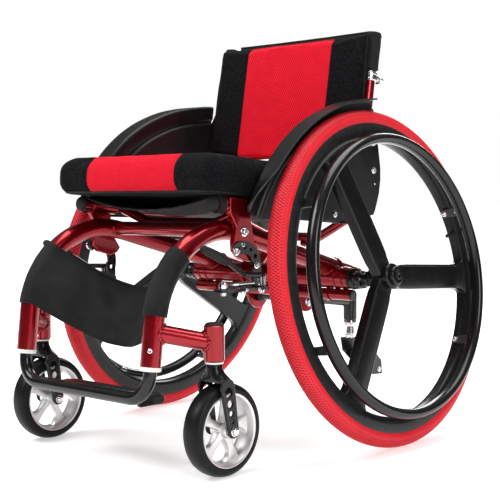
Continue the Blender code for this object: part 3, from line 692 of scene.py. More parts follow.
def weld(start, end, radius, path, path_radius, bead=0.0026):
    """The rippled bead where a round bar, coming from start, meets a bar along a path."""
    steps = 56
    direction = (end - start).normalized()
    normal = direction.orthogonal().normalized()
    across = direction.cross(normal)
    reach = (end - start).length
    route = []
    for angle in around(steps):
        edge = start + (normal * cos(angle) + across * sin(angle)) * radius
        low, high = 0.0, reach
        for _ in range(14):
            middle = (low + high) / 2
            if distance_to(path, edge + direction * middle) > path_radius:
                low = middle
            else:
                high = middle
        route.append(edge + direction * low)
    radii = [bead * (1 + 0.16 * sin(k * pi / 2)) for k in range(steps)]
    return sweep(route, radii, 10, loop=True)


# Main frame


def knee_corner():
    """Where the leg's line meets the sloping rear line, as (back, up)."""
    lean = tan(LEG_LEAN)
    slope = tan(REAR_SLOPE)
    up = (REAR_LINE_Z - slope * (LEG_BOTTOM[0] - lean * LEG_BOTTOM[1])) / (1 + slope * lean)
    return LEG_BOTTOM[0] + lean * (up - LEG_BOTTOM[1]), up


def main_tube_path(side):
    back, up = knee_corner()
    rear_up = REAR_LINE_Z - tan(REAR_SLOPE) * REAR_END[1]
    corners = [
        at(side * LEG_X, *LEG_BOTTOM),
        at(side * LEG_X, back, up),
        at(side * REAR_END[0], REAR_END[1], rear_up),
    ]
    return filleted(corners, KNEE_R, steps=26)


def main_tube_at(side, back):
    path = main_tube_path(side)
    start, end = path[-2], path[-1]
    return start.lerp(end, (AXLE_Y + back - start.y) / (end.y - start.y))


def leg_axis():
    return Vector((0, sin(LEG_LEAN), cos(LEG_LEAN)))


def build_main_tube(side, name):
    path = main_tube_path(side)
    lip = path[0] + leg_axis() * 0.001
    route = [path[0], lip, *path[1:]]
    radii = [FRAME_TUBE_R - 0.0008] + [FRAME_TUBE_R] * (len(route) - 1)
    piece(f"{name}_leg_and_frame_tube", sweep(route, radii, 40), PAINT, "frame",
          f"{name}_main_tube")
    axis = leg_axis()
    collar = [(-0.0065, FOOT_R + 0.0004), (-0.0065, 0.0165), (-0.0052, 0.0176), (0.0004, 0.0176),
              (0.0004, FOOT_R + 0.0004)]
    bush = aimed(lathe(softened(collar, 0.0006), 48, axis="Z"), path[0], axis)
    piece(f"{name}_leg_bush", bush, NYLON, "frame")
    front = Vector((0, -cos(LEG_LEAN), sin(LEG_LEAN)))
    spots = []
    for turn in (radians(38), radians(-142)):
        out = front * cos(turn) + Vector((side, 0, 0)) * sin(turn)
        spots.append((path[0] + axis * 0.026 + out * (FRAME_TUBE_R - 0.0006), out, 0.0040, 0.0022, False))
    bolts(f"{name}_leg_screws", "frame", spots)


def build_caster_arm(side, name):
    low, high = HOUSING_Z
    radius = 0.0168
    profile = [(low, 0.0075), (low, radius - 0.0012), (low + 0.0012, radius), (high - 0.0012, radius),
               (high, radius - 0.0012), (high, 0.0075)]
    stem = at(side * CASTER_X, STEM_BACK, 0)
    housing = moved(lathe(profile, 56, axis="Z"), stem)
    leg = at(side * LEG_X, -0.4635, 0.236)
    head = at(side * CASTER_X, STEM_BACK, 0.216)
    arm = sweep([leg, head], 0.0145, 40)
    beads = [weld(head, leg, 0.0145, main_tube_path(side), FRAME_TUBE_R, 0.0030)]
    upright = [stem + Vector((0, 0, low)), stem + Vector((0, 0, high))]
    beads.append(weld(leg, head, 0.0145, upright, radius, 0.0030))
    piece(f"{name}_caster_outrigger", [housing, arm, *beads], PAINT, "frame",
          f"{name}_caster_arm")
    cap = [(high - 0.001, 0), (high - 0.001, 0.0150), (high + 0.0016, 0.0150), (high + 0.0042, 0.0118),
           (high + 0.0050, 0.0060), (high + 0.0052, 0)]
    cap = moved(lathe(softened(cap, 0.0008), 48, axis="Z"), stem)
    piece(f"{name}_housing_cap", cap, GRIP_RUBBER, "frame")


def rail_height(back):
    return RAIL_FRONT[1] - tan(RAKE) * (back - RAIL_FRONT[0])


def rail_path(side):
    return [at(side * RAIL_X, *RAIL_FRONT), at(side * RAIL_X, *RAIL_REAR)]


def build_cross_tubes():
    ends = [main_tube_at(side, -0.272) for side in (-1, 1)]
    shapes = [sweep(ends, 0.0125, 32)]
    for side, end, other in ((-1, ends[0], ends[1]), (1, ends[1], ends[0])):
        shapes.append(weld(other, end, 0.0125, main_tube_path(side), FRAME_TUBE_R))
    piece("knee_cross_tube", shapes, PAINT, "frame", "front_cross_tube")

    for place, outer, inner in (
        ("front", (RAIL_X, -0.244, rail_height(-0.244)), (0.087, -0.244, 0.402)),
        ("rear", (0.1600, 0.046, 0.408), (0.068, 0.064, 0.367)),
    ):
        corners = [at(-outer[0], *outer[1:]), at(-inner[0], *inner[1:]), at(*inner), at(*outer)]
        tube = sweep(filleted(corners, 0.03, 8), 0.009, 28)
        piece(f"seat_{place}_tube", tube, PAINT, "frame", f"seat_{place}_cross_tube")


def build_seat_rail(side, name):
    front, rear = rail_path(side)
    piece(f"{name}_rail_tube", sweep([front, rear], RAIL_R, 36), PAINT, "frame", f"{name}_seat_rail")
    direction = (front - rear).normalized()
    profile = [(-0.004, 0), (-0.004, RAIL_R - 0.002), (0.0002, RAIL_R - 0.002), (0.0002, RAIL_R + 0.0007),
               (0.0052, RAIL_R + 0.0007), (0.0085, RAIL_R - 0.0030), (0.0095, 0)]
    plug = aimed(lathe(softened(profile, 0.0010), 40, axis="Z"), front, direction)
    piece(f"{name}_rail_plug", plug, GRIP_RUBBER, "frame")


def build_seat_upright(side, name):
    outer = FRAME_TUBE_R + LEG_X + 0.0005
    outline = [(-0.311, 0.447), (-0.262, 0.443), (-0.262, 0.418), (-0.252, 0.372), (-0.238, 0.352),
               (-0.246, 0.343), (-0.262, 0.338), (-0.292, 0.347), (-0.302, 0.358), (-0.303, 0.372),
               (-0.296, 0.398), (-0.310, 0.420)]
    outline = [(AXLE_Y + back, up) for back, up in outline]
    shape = plate(outline, side * (outer - 0.004), side * (outer + 0.0065))
    piece(f"{name}_upright_plate", shape, PAINT, "frame", f"{name}_seat_upright", bevel=0.0016)
    ends = [at(side * RAIL_X, back, rail_height(back)) for back in (-0.316, -0.258)]
    collar = sweep(ends, RAIL_R + 0.0026, 36)
    piece(f"{name}_upright_sleeve", collar, PAINT, "frame", bevel=0.0008)
    out = Vector((side, 0, 0))
    face = outer + 0.0064
    spots = [(at(side * face, -0.278, 0.390), out, 0.0062, 0.0056),
             (at(side * face, -0.284, 0.368), out, 0.0048, 0.0040)]
    bolts(f"{name}_upright_bolts", "frame", spots)


def build_axle_tube():
    """The cross tube of both wheels, its lower tube, lobes, clamp rings and slanted posts."""
    middle = at(0, 0, AXLE_TUBE_Z)
    reach = Vector((AXLE_TUBE_X, 0, 0))
    shapes = [sweep([middle - reach, middle + reach], AXLE_TUBE_R, 56)]
    low = at(0, 0, 0.2645)
    shapes.append(sweep([low - reach, low + reach], 0.0105, 32))
    for side, _ in SIDES:
        for offset in (0.168, 0.186):
            ring = square_ring(offset - 0.0030, offset + 0.0030, AXLE_TUBE_R - 0.002, AXLE_TUBE_R + 0.0014)
            shapes.append(moved(lathe(softened(ring, 0.0009), 56, side), middle))
        shapes.append(weld(main_tube_at(side, -0.05), main_tube_at(side, 0.01), FRAME_TUBE_R,
                           [middle - reach, middle + reach], AXLE_TUBE_R, 0.0028))
        shapes.append(sweep([at(side * 0.150, 0, 0.2645), at(side * 0.142, 0, 0.2645)], 0.0125, 32))
    piece("axle_cross_tube", shapes, PAINT, "frame", "axle_tube")
    lobes = []
    spots = []
    posts = []
    for side, _ in SIDES:
        circles = [(AXLE_Y, AXLE_TUBE_Z, 0.026), (AXLE_Y + 0.029, 0.250, 0.027)]
        lobes.append(plate(hull_outline(circles, 40), side * 0.059, side * 0.067))
        out = Vector((side, 0, 0))
        spots.append((at(side * 0.067, 0.034, 0.244), out, 0.0075, 0.0050))
        foot = at(side * 0.045, 0.004, AXLE_TUBE_Z + 0.008)
        head = at(side * 0.045, 0.050, 0.350)
        posts.append(sweep([foot, head], 0.008, 28))
        along = (head - foot).normalized()
        for share in (0.42, 0.86):
            spots.append((foot.lerp(head, share) + out * 0.0076, out, 0.0072, 0.0060))
        eye = head + along * 0.006
        posts.append(sweep([eye - out * 0.007, eye + out * 0.007], 0.0125, 32))
        post_out = Vector((-side, 0, 0))
        spots.append((eye + post_out * 0.007, post_out, 0.0050, 0.0040))
    piece("axle_lobes", lobes, PAINT, "frame", bevel=0.0018)
    piece("seat_posts", posts, PAINT, "frame", bevel=0.0010)
    bolts("axle_bolts", "frame", spots)
    plugs = []
    for side, _ in SIDES:
        for place, radius, proud, segments in ((middle, 0.0186, 0.0035, 48), (low, 0.0098, 0.004, 36)):
            ring = square_ring(AXLE_TUBE_X - 0.004, AXLE_TUBE_X + proud, 0, radius)
            plugs.append(moved(lathe(softened(ring, 0.0008), segments, side), place))
    piece("axle_tube_plugs", plugs, BLACK_COAT, "frame", slot="")


def wheel_matrix(side):
    """The wheel's own frame: its X axis is the axle, cambered in the chair's frame."""
    return Matrix.Translation(at(side * HUB_X, 0, HUB_Z)) @ Matrix.Rotation(-side * CAMBER, 4, "Y")


def build_axle_receiver(side, name):
    inner = -(HUB_X - AXLE_TUBE_X) / cos(CAMBER) + 0.0035
    profile = [(inner, 0.0064), (inner, 0.0165), (inner + 0.010, 0.0165), (inner + 0.0108, 0.0150),
               (inner + 0.0125, 0.0150), (inner + 0.0133, 0.0165), (inner + 0.0240, 0.0165),
               (inner + 0.0270, 0.0118)]
    thread = inner + 0.028
    while thread < -0.0275:
        profile += [(thread, 0.0116), (thread + 0.0008, 0.0108)]
        thread += 0.0016
    profile += [(-0.0235, 0.0113), (-0.0235, 0.0064)]
    piece(f"{name}_axle_plug", lathe(softened(profile, 0.0005, 2), 48, side), BLACK_COAT, "frame",
          f"{name}_axle_receiver", place=wheel_matrix(side))
    nut = lathe(square_ring(-0.0345, -0.0285, 0.0105, 0.0160), 6, side)
    piece(f"{name}_axle_lock_nut", nut, BLACK_COAT, "frame",
          place=wheel_matrix(side), bevel=0.0008)


def guard_point(side, share, inset):
    """A point (back of the world origin, up) on the guard's arc, from its front to its rear."""
    angle = GUARD_RADII[0][0] + (GUARD_RADII[-1][0] - GUARD_RADII[0][0]) * share
    for (first, near), (second, far) in zip(GUARD_RADII, GUARD_RADII[1:]):
        if first >= angle >= second - 1e-9:
            blend = (angle - first) / (second - first)
            radius = near + (far - near) * blend - inset
    turn = radians(angle)
    return AXLE_Y + radius * cos(turn), HUB_Z + GUARD_RISE[side] + radius * sin(turn)


def guard_profile(narrow, flare):
    """The sheet's section (out, inset from the edge): a ridge, a rolled corner, then the lip."""
    profile = []
    for i in range(11):
        share = i / 10
        profile.append((0.0034 * sin(pi * share) ** 2, 0.0385 - 0.0120 * share))
    profile.append((0.0, 0.0130))
    for i in range(8):
        angle = pi / 2 * i / 7
        profile.append((0.0075 * (1 - cos(angle)), 0.0075 * (1 - sin(angle))))
    for i in range(1, 10):
        share = i / 9
        profile.append((0.0075 + 0.0318 * share * narrow, -flare * share ** 2))
    return profile


def build_side_guard(side, name):
    """The guard: a flat sheet, a raised ridge, and a lip that rolls out over the tyre."""
    steps, thick = 84, 0.0026
    rings = []
    for i in range(steps + 1):
        share = i / steps
        narrow = min(1.0, 0.16 + share / 0.22) * min(1.0, 0.30 + (1 - share) / 0.10)
        flare = 0.010 * max(0.0, 1 - share / 0.22)
        profile = guard_profile(narrow, flare)
        outer, inner = [], []
        for index, (out, inset) in enumerate(profile):
            before = profile[max(index - 1, 0)]
            after = profile[min(index + 1, len(profile) - 1)]
            slope = Vector((after[0] - before[0], before[1] - after[1])).normalized()
            for chain, gap in ((outer, 0.0), (inner, thick)):
                y, z = guard_point(side, share, inset + slope.x * gap)
                chain.append(Vector((side * (GUARD_X + out + slope.y * gap), y, z)))
        rings.append(outer + inner[::-1])
    piece(f"{name}_guard_lip", loft(rings), GUARD_SHELL, "frame", smooth=50)

    outline = [guard_point(side, i / steps, 0.0380) for i in range(steps + 1)]
    rise = GUARD_RISE[side]
    corners = [(0.044, 0.592 + rise), (0.055, 0.610 + rise), (0.062, 0.596 + rise), (0.070, 0.548),
               (0.0785, 0.500), (0.0785, 0.478), (0.074, 0.452), (0.062, 0.420), (0.056, 0.412),
               (-0.037, 0.403), (-0.284, 0.4118)]
    outline = outline[:-1] + [(AXLE_Y + back, up) for back, up in corners]
    panel = plate(outline, side * (GUARD_X + 0.0001), side * (GUARD_X + thick - 0.0001))
    bosses = []
    out = Vector((side, 0, 0))
    for back in (-0.215, -0.060):
        boss = at(side * (RAIL_X + RAIL_R), back, rail_height(back))
        bosses.append(sweep([boss, boss + out * 0.0225], 0.006, 24))
    piece(f"{name}_guard_panel", [panel, *bosses], GUARD_SHELL, "frame", f"{name}_side_guard",
          bevel=0.0008)
    spots = []
    face = side * (GUARD_X + thick)
    for back, up, radius in ((0.057, 0.496, 0.0050), (-0.060, rail_height(-0.060), 0.0045)):
        spots.append((at(face, back, up), out, radius, 0.0024))
    spots.append((at(face, 0.060, 0.470), out, 0.0022, 0.0016, False))
    bolts(f"{name}_guard_screws", "frame", spots)


def build_frame():
    for side, name in SIDES:
        build_main_tube(side, name)
        build_caster_arm(side, name)
        build_seat_rail(side, name)
        build_seat_upright(side, name)
        build_side_guard(side, name)
        build_axle_receiver(side, name)
    build_cross_tubes()
    build_axle_tube()


# Footrest


def build_footrest():
    drop = (LEG_BOTTOM[1] - FOOT_BAR_Z) / cos(LEG_LEAN)
    axis = leg_axis()
    bar_at = at(0, *LEG_BOTTOM) - axis * drop
    corners = []
    for side in (-1, 1):
        low = bar_at + Vector((side * LEG_X, 0, 0))
        high = low + axis * (drop + 0.082)
        corners += [high, low] if side < 0 else [low, high]
    tube = sweep(filleted(corners, FOOT_BEND_R, 18), FOOT_R, 36)
    piece("foot_bar", tube, BLACK_COAT, "footrest", "foot_tube")
    half, depth, corner = 0.122, 0.066, 0.016
    start = FOOT_R + 0.0003
    circles = []
    for side in (-1, 1):
        circles.append((side * (half - corner), start + depth - corner, corner))
        circles.append((side * (half - 0.004), start + 0.004, 0.004))
    tray = moved(plate(hull_outline(circles, 32), -0.0080, -0.0022, "Z"), bar_at)
    tray = piece("foot_tray", tray, BLACK_COAT, "footrest", "foot_plate", bevel=0.0016, segments=3)
    ribs = [cross_bar(0.098, start + 0.012 + i * 0.0052, -0.0023, 0.0009, 10) for i in range(9)]
    ribs = [moved(rib, bar_at) for rib in ribs]
    caps = []
    for side in (-1, 1):
        outline = hull_outline([(start + 0.010, -0.0100, 0.0078), (start + 0.053, -0.0100, 0.0078)], 24)
        caps.append(moved(plate(outline, side * (half - 0.0035), side * (half + 0.0030)), bar_at))
    piece("foot_tray_caps", caps, BLACK_COAT, "footrest", bevel=0.0022, segments=3)
    piece("foot_tray_ribs", ribs, GRIP_RUBBER, "footrest", slot="black_metal")


# Drive wheels. Local axes: X is the axle and points outwards times the side.


def rounded_section(half_a, half_b, corner, steps=4):
    """A rectangle with round corners, as (a, b) points."""
    spots = []
    for turn, (sa, sb) in enumerate(((1, 1), (-1, 1), (-1, -1), (1, -1))):
        for i in range(steps + 1):
            angle = pi / 2 * (turn + i / steps)
            spots.append((sa * (half_a - corner) + corner * cos(angle),
                          sb * (half_b - corner) + corner * sin(angle)))
    return spots


def turned_x(bm, angle):
    return moved(bm, rotation=Matrix.Rotation(angle, 4, "X"))


def wheel_spoke():
    """A box spoke that flares where it joins the hub and the rim."""
    stations = [(0.010, 0.0190), (0.030, 0.0200), (0.040, 0.0222), (0.060, SPOKE_HALF),
                (0.205, SPOKE_HALF), (0.226, 0.0238), (0.238, 0.0258), (0.246, 0.0295), (0.2515, 0.0365)]
    rings = []
    for radius, width in stations:
        section = rounded_section(width, 0.0105, 0.0030)
        rings.append([Vector((depth, radius, across)) for across, depth in section])
    return loft(rings)


def build_rim(side, name):
    half = 0.0135
    rim = [(0.0070, 0.2500), (0.0104, 0.2515), (0.0132, 0.2570), (half, 0.2640), (half, 0.2803),
           (0.0105, 0.2728)]
    ring = lathe(both_ways(rim), 240, side)
    spokes = [turned_x(wheel_spoke(), angle) for angle in around(3, WHEEL_PHASE[side])]
    barrel = [(-0.022, 0), (-0.022, 0.0205), (-0.0195, 0.0235), (0.0205, 0.0235), (0.0235, 0.0205),
              (0.0240, 0.0150), (0.0240, 0)]
    shell = lathe(softened(barrel, 0.0012), 72, side)
    piece(f"{name}_wheel_shell", [ring, *spokes, shell], MOULDED, f"{name}_wheel", f"{name}_drive_wheel",
          place=wheel_matrix(side), smooth=30)
    seams = []
    for angle in around(3, WHEEL_PHASE[side]):
        for edge, face in ((-1, -1), (-1, 1), (1, -1), (1, 1)):
            across = edge * (SPOKE_HALF - 0.0036)
            ends = [Vector((face * 0.0103, radius, across)) for radius in (0.044, 0.226)]
            seams.append(turned_x(sweep(ends, 0.0006, 8), angle))
    piece(f"{name}_spoke_edges", seams, BLACK_COAT, f"{name}_wheel", slot="black_plastic",
          place=wheel_matrix(side))


TREAD_PITCH = 336  # studs round the tyre
TREAD_STEPS = 4
STUD_ROW = 0.0045  # between rows of studs, which are staggered


def build_tyre(side, name):
    """A round tyre whose crown carries staggered studs, with ribs on its shoulders."""
    around = TREAD_PITCH * TREAD_STEPS
    bead = radians(116)
    angles = np.linspace(-bead, bead, 47)
    turn = np.arange(around) * 2 * pi / around
    phase = turn * TREAD_PITCH
    studs = np.cos(phase)[:, None] * np.cos(angles * TYRE_HALF / STUD_ROW * pi)[None, :]
    studs = np.clip(studs * 1.5 + 0.75, 0, 1)
    crown = np.clip((radians(56) - np.abs(angles)) / radians(5), 0, 1)[None, :]
    shoulder = np.clip((np.abs(angles) - radians(54)) / radians(4), 0, 1)
    shoulder = (shoulder * np.clip((radians(80) - np.abs(angles)) / radians(6), 0, 1))[None, :]
    ribs = 0.5 - 0.5 * np.cos(phase)[:, None]
    sink = 0.00125 * crown * (1 - studs) + 0.00080 * shoulder * ribs
    radius = TYRE_HALF - sink
    out = side * radius * np.sin(angles)[None, :]
    high = TREAD_CENTRE + radius * np.cos(angles)[None, :]
    points = np.stack([out, high * np.cos(turn)[:, None], high * np.sin(turn)[:, None]], axis=-1)
    seat_out = np.array([0.0122, -0.0122]) * side
    seat = np.empty((around, 2, 3))
    seat[:, :, 0] = seat_out
    seat[:, :, 1] = 0.2775 * np.cos(turn)[:, None]
    seat[:, :, 2] = 0.2775 * np.sin(turn)[:, None]
    points = np.concatenate([points, seat], axis=1)
    across = points.shape[1]
    index = np.arange(around * across).reshape(around, across)
    beyond = np.roll(index, -1, axis=0)
    faces = np.stack([index, np.roll(index, -1, axis=1), np.roll(beyond, -1, axis=1), beyond], axis=-1)
    faces = faces.reshape(-1, 4)
    if side < 0:
        faces = faces[:, ::-1]
    mesh = bpy.data.meshes.new("tread")
    mesh.from_pydata(points.reshape(-1, 3).tolist(), [], faces.tolist())
    bm = bmesh.new()
    bm.from_mesh(mesh)
    bpy.data.meshes.remove(mesh)
    piece(f"{name}_tyre_tread", bm, TYRE_RED, f"{name}_wheel", f"{name}_drive_tyre",
          place=wheel_matrix(side), smooth=60)


def build_push_ring(side, name):
    section = []
    for angle in around(30):
        section.append((HANDRIM_OFFSET + 0.0125 * cos(angle), HANDRIM_R + 0.0095 * sin(angle)))
    ring = lathe(section, 240, side)
    tabs = []
    spots = []
    matrix = wheel_matrix(side)
    inner, outer = 0.2448, 0.2480
    for angle in around(6, WHEEL_PHASE[side] + pi / 6 - pi / 2):
        outline = hull_outline([(side * 0.0010, 0.0, 0.0075), (side * 0.034, 0.004, 0.0050),
                                (side * 0.034, -0.004, 0.0050)])
        tabs.append(turned_x(plate(outline, inner, outer, "Z"), angle))
        turn = Matrix.Rotation(angle, 4, "X")
        down = turn @ Vector((0, 0, -1))
        spots.append((turn @ Vector((side * 0.0010, 0, inner)), down, 0.0042, 0.0036))
        spots.append((turn @ Vector((side * 0.0285, 0, inner)), down, 0.0030, 0.0022, False))
    piece(f"{name}_push_ring", [ring, *tabs], BLACK_COAT, f"{name}_wheel", f"{name}_handrim",
          place=matrix, smooth=40)
    bolts(f"{name}_push_ring_screws", f"{name}_wheel", spots, matrix)
    valve_angle = WHEEL_PHASE[side] + radians(20)
    stem = [(0, 0.0028), (0.010, 0.0028), (0.0105, 0.0036), (0.0190, 0.0034), (0.0200, 0.0024), (0.0200, 0)]
    valve = lathe(softened([(0, 0), *stem], 0.0005, 2), 24, axis="Z")
    base = Matrix.Rotation(valve_angle - pi / 2, 4, "X")
    valve = moved(valve, base @ Vector((0, 0, 0.2505)), base @ Matrix.Rotation(pi, 4, "Y"))
    piece(f"{name}_air_valve", valve, GRIP_RUBBER, f"{name}_wheel", slot="black_plastic", place=matrix)


def build_quick_axle(side, name):
    head = 0.0243
    matrix = wheel_matrix(side)
    profile = [(-0.066, 0), (-0.066, 0.0050), (-0.065, 0.0060)]
    profile += stepped(head, (0, 0.0060), (0, 0.0165), (0.0052, 0.0165), (0.0072, 0.0148), (0.0072, 0.0090),
                       (0.0012, 0.0088), (0.0012, 0))
    axle = lathe(softened(profile, 0.0007), 64, side)
    grooves = []
    for angle in around(18):
        spot = Vector((side * (head + 0.0006), 0.0163 * cos(angle), 0.0163 * sin(angle)))
        grooves.append(sweep([spot, spot + Vector((side * 0.0046, 0, 0))], 0.0009, 8))
    piece(f"{name}_quick_axle", [axle, *grooves], BLACK_COAT, f"{name}_wheel", f"{name}_wheel_axle",
          place=matrix)
    button = stepped(head + 0.0048, (0, 0), (0, 0.0083), (0.0040, 0.0083), (0.0052, 0.0072), (0.0055, 0.0050),
                     (0.0049, 0.0030), (0.0047, 0))
    piece(f"{name}_push_button", lathe(softened(button, 0.0006), 48, side), MOULDED, f"{name}_release",
          f"{name}_release_button", slot="silver", place=matrix)


def build_wheels():
    for side, name in SIDES:
        build_rim(side, name)
        build_tyre(side, name)
        build_push_ring(side, name)
        build_quick_axle(side, name)


# Casters


# The fork's crown from its top down: height, half width, half depth, and how far back its middle is
CROWN = (
    (0.1847, 0.0118, 0.0118, 0),
    (0.1835, 0.0126, 0.0126, 0),
    (0.1760, 0.0132, 0.0130, 0),
    (0.1690, 0.0160, 0.0142, 0.001),
    (0.1645, 0.0205, 0.0152, 0.002),
    (0.1605, 0.0247, 0.0160, 0.003),
    (0.1570, 0.0268, 0.0163, 0.004),
    (0.1556, 0.0264, 0.0160, 0.004),
)


def fork_crown():
    """A solid that is round at its top and turns into a blunt rectangle further down."""
    rings = []
    for up, wide, deep, middle in CROWN:
        ring = []
        blunt = 0.5 + 0.5 * min(1.0, max(0.0, (up - 0.158) / 0.02))
        for angle in around(48):
            a, b = cos(angle), sin(angle)
            x = wide * (abs(a) ** blunt) * (1 if a > 0 else -1)
            y = deep * (abs(b) ** (0.6 + 0.4 * blunt)) * (1 if b > 0 else -1)
            ring.append(Vector((x, middle + y, up)))
        rings.append(ring)
    return loft(rings)


def build_fork(side, name):
    """A moulded fork: a crown that spreads into two flat legs, pierced by shrinking holes."""
    trail = CASTER_BACK - STEM_BACK
    inner, outer = CASTER_HALF + 0.0035, CASTER_HALF + 0.0085
    place = Matrix.Translation(at(side * CASTER_X, STEM_BACK, 0))
    body = f"{name}_caster"
    circles = [(0.004, 0.146, 0.0155), (trail, CASTER_Z, 0.0115)]
    legs = [plate(hull_outline(circles, 40), leg * inner, leg * outer) for leg in (-1, 1)]
    holes = []
    for share, radius in ((0.09, 0.0078), (0.36, 0.0060), (0.585, 0.0045), (0.765, 0.0030)):
        y = 0.004 + (trail - 0.004) * share
        z = 0.146 + (CASTER_Z - 0.146) * share
        holes.append(cross_bar(0.05, y, z, radius, 28))
    legs = piece(f"{name}_fork_legs", legs, MOULDED, body, f"{name}_caster_fork",
                 bevel=0.0014, place=place, segments=3)
    drilled(legs, *holes)
    piece(f"{name}_fork_crown", fork_crown(), MOULDED, body, place=place, smooth=50)
    ribs = []
    for leg, edge in ((-1, -1), (-1, 1), (1, -1), (1, 1)):
        x = leg * (outer - 0.0004)
        top = Vector((x, 0.004 + edge * 0.0128, 0.143))
        low = Vector((x, trail + edge * 0.0088, CASTER_Z + 0.004))
        ribs.append(sweep([top, low], 0.0013, 10))
    piece(f"{name}_fork_ribs", ribs, MOULDED, body, place=place)
    ring = lathe(softened(square_ring(0.1840, 0.1872, 0.0064, 0.0150), 0.0008), 48, axis="Z")
    piece(f"{name}_bearing_ring", ring, NYLON, body, slot="silver", place=place)
    face = outer + 0.0003
    profile = stepped(-face, (-0.0062, 0), (-0.0062, 0.0040), (-0.0050, 0.0062), (-0.0012, 0.0066),
                      (-0.0010, 0.0082), (0, 0.0082), (0, 0.0041))
    shapes = [lathe(softened(both_ways(profile), 0.0005, 2), 36)]
    for leg in (-1, 1):
        shapes.append(lathe(square_ring(0.0183, inner - 0.0002, 0.0043, 0.0075), 32, leg))
    piece(f"{name}_fork_bolt", shapes, CHROME, body, f"{name}_caster_axle", slot="silver",
          place=place @ Matrix.Translation((0, trail, CASTER_Z)))


def caster_spoke():
    """One swept spoke of the cast caster rim, widest at the rim."""
    rings = []
    for i in range(13):
        share = i / 12
        radius = 0.0095 + (0.0556 - 0.0095) * share
        swirl = 0.16 * sin(pi * share)
        width = 0.0082 - 0.0022 * sin(pi * min(1, share * 1.25)) + 0.0100 * share ** 6
        depth = 0.0090 - 0.0042 * min(1.0, share * 1.6) + 0.0010 * share
        ring = []
        for across, out in rounded_section(width, depth, 0.0022, 3):
            angle = swirl + across / max(radius, 0.012)
            ring.append(Vector((out, radius * cos(angle), radius * sin(angle))))
        rings.append(ring)
    return loft(rings)


def build_caster(side, name):
    place = Matrix.Translation(at(side * CASTER_X, CASTER_BACK, CASTER_Z))
    rim = [(0.0172, 0.0606), (0.0182, 0.0600), (0.0182, 0.0585), (0.0172, 0.0566), (0.0120, 0.0540),
           (0.0085, 0.0531)]
    shapes = [lathe(both_ways(rim), 144, side)]
    shapes += [turned_x(caster_spoke(), angle) for angle in around(5)]
    hub = [(-0.0180, 0.0046), (-0.0180, 0.0090), (-0.0172, 0.0110), (-0.0135, 0.0128)]
    shapes.append(lathe(softened(both_ways(hub), 0.0008), 56, side))
    piece(f"{name}_caster_casting", shapes, SILVER, f"{name}_caster_wheel", f"{name}_caster_rim",
          place=place, smooth=32)
    drop = CASTER_R - CASTER_Z
    tyre = [(-0.0178, 0.0602), (-0.0187, 0.0622), (-0.0188, 0.0665), (-0.0174, 0.0706), (-0.0140, 0.0736),
            (-0.0090, 0.0754), (-0.0040, 0.0762)]
    tyre = both_ways([(along, radius - drop) for along, radius in tyre])
    tyre = lathe(softened(tyre, 0.0020), 144, side)
    piece(f"{name}_caster_rubber", tyre, TYRE_BLACK, f"{name}_caster_wheel",
          f"{name}_caster_tyre", place=place, smooth=60)


def build_casters():
    for side, name in SIDES:
        build_fork(side, name)
        build_caster(side, name)


# Brakes


def coil(start, end, radius, wire, turns):
    """A helical spring between two points."""
    steps = 14
    direction = (end - start).normalized()
    normal = direction.orthogonal().normalized()
    across = direction.cross(normal)
    route = []
    for i in range(turns * steps + 1):
        angle = 2 * pi * i / steps
        middle = start.lerp(end, i / (turns * steps))
        route.append(middle + (normal * cos(angle) + across * sin(angle)) * radius)
    return sweep(route, wire, 8)


def arc_point(radius, angle):
    """A point (y, z) on the bracket's arc, which is a little taller than wide."""
    return AXLE_Y - 0.283 + radius * cos(angle), 0.327 + radius * sin(angle) * 1.1


def build_brake_bracket(side, name):
    """The pierced arc on the frame, the shelf that carries both levers, and their bolts."""
    inner = FRAME_TUBE_R + LEG_X + 0.0065 + 0.0008
    face = inner + 0.004
    outline = []
    for radius, turn in ((0.043, 1), (0.024, -1)):
        for i in range(25):
            outline.append(arc_point(radius, radians(128 - 150 * (i if turn > 0 else 24 - i) / 24)))
    arm = plate(outline, inner, face)
    low = at(inner, -0.352, BRAKE_BASE_Z - 0.005)
    high = at(LEVER_PIVOT[0] + 0.007, -0.240, BRAKE_BASE_Z)
    shelf = [(low.x, low.y), (high.x - 0.006, low.y), (high.x, low.y + 0.008), (high.x, high.y - 0.008),
             (high.x - 0.006, high.y), (low.x, high.y)]
    shelf = plate(shelf, low.z, high.z, "Z")
    front, rear = AXLE_Y - 0.262, AXLE_Y - 0.242
    web = [(front, BRAKE_BASE_Z - 0.004), (rear, BRAKE_BASE_Z - 0.004), (rear, 0.325), (front, 0.325)]
    web = plate(web, inner, face)
    bracket = piece(f"{name}_brake_plate", mirrored(merged(arm, shelf, web), side), BLACK_COAT, "frame",
                    f"{name}_brake_bracket", bevel=0.0009)
    slots = []
    for k in range(6):
        start = Vector((side * inner, *arc_point(0.0335, radians(112 - 26 * k)))) - Vector((0.02, 0, 0))
        slots.append(sweep([start, start + Vector((0.04, 0, 0))], 0.0042 if k % 2 else 0.0030, 20))
    drilled(bracket, *slots)
    out = Vector((side, 0, 0))
    spots = [(at(side * face, -0.302, 0.3575), out, 0.0050, 0.0046),
             (at(side * face, -0.252, 0.3330), out, 0.0046, 0.0042)]
    for back in (-0.300, -0.270):
        spots.append((at(side * high.x, back, BRAKE_BASE_Z - 0.0025), out, 0.0030, 0.0030, False))
    down = Vector((0, 0, -1))
    for x, back in (LEVER_PIVOT, SHOE_PIVOT, (0.194, -0.290)):
        spots.append((at(side * x, back, BRAKE_BASE_Z - 0.005), down, 0.0045, 0.0050))
    bolts(f"{name}_brake_bolts", "frame", spots)


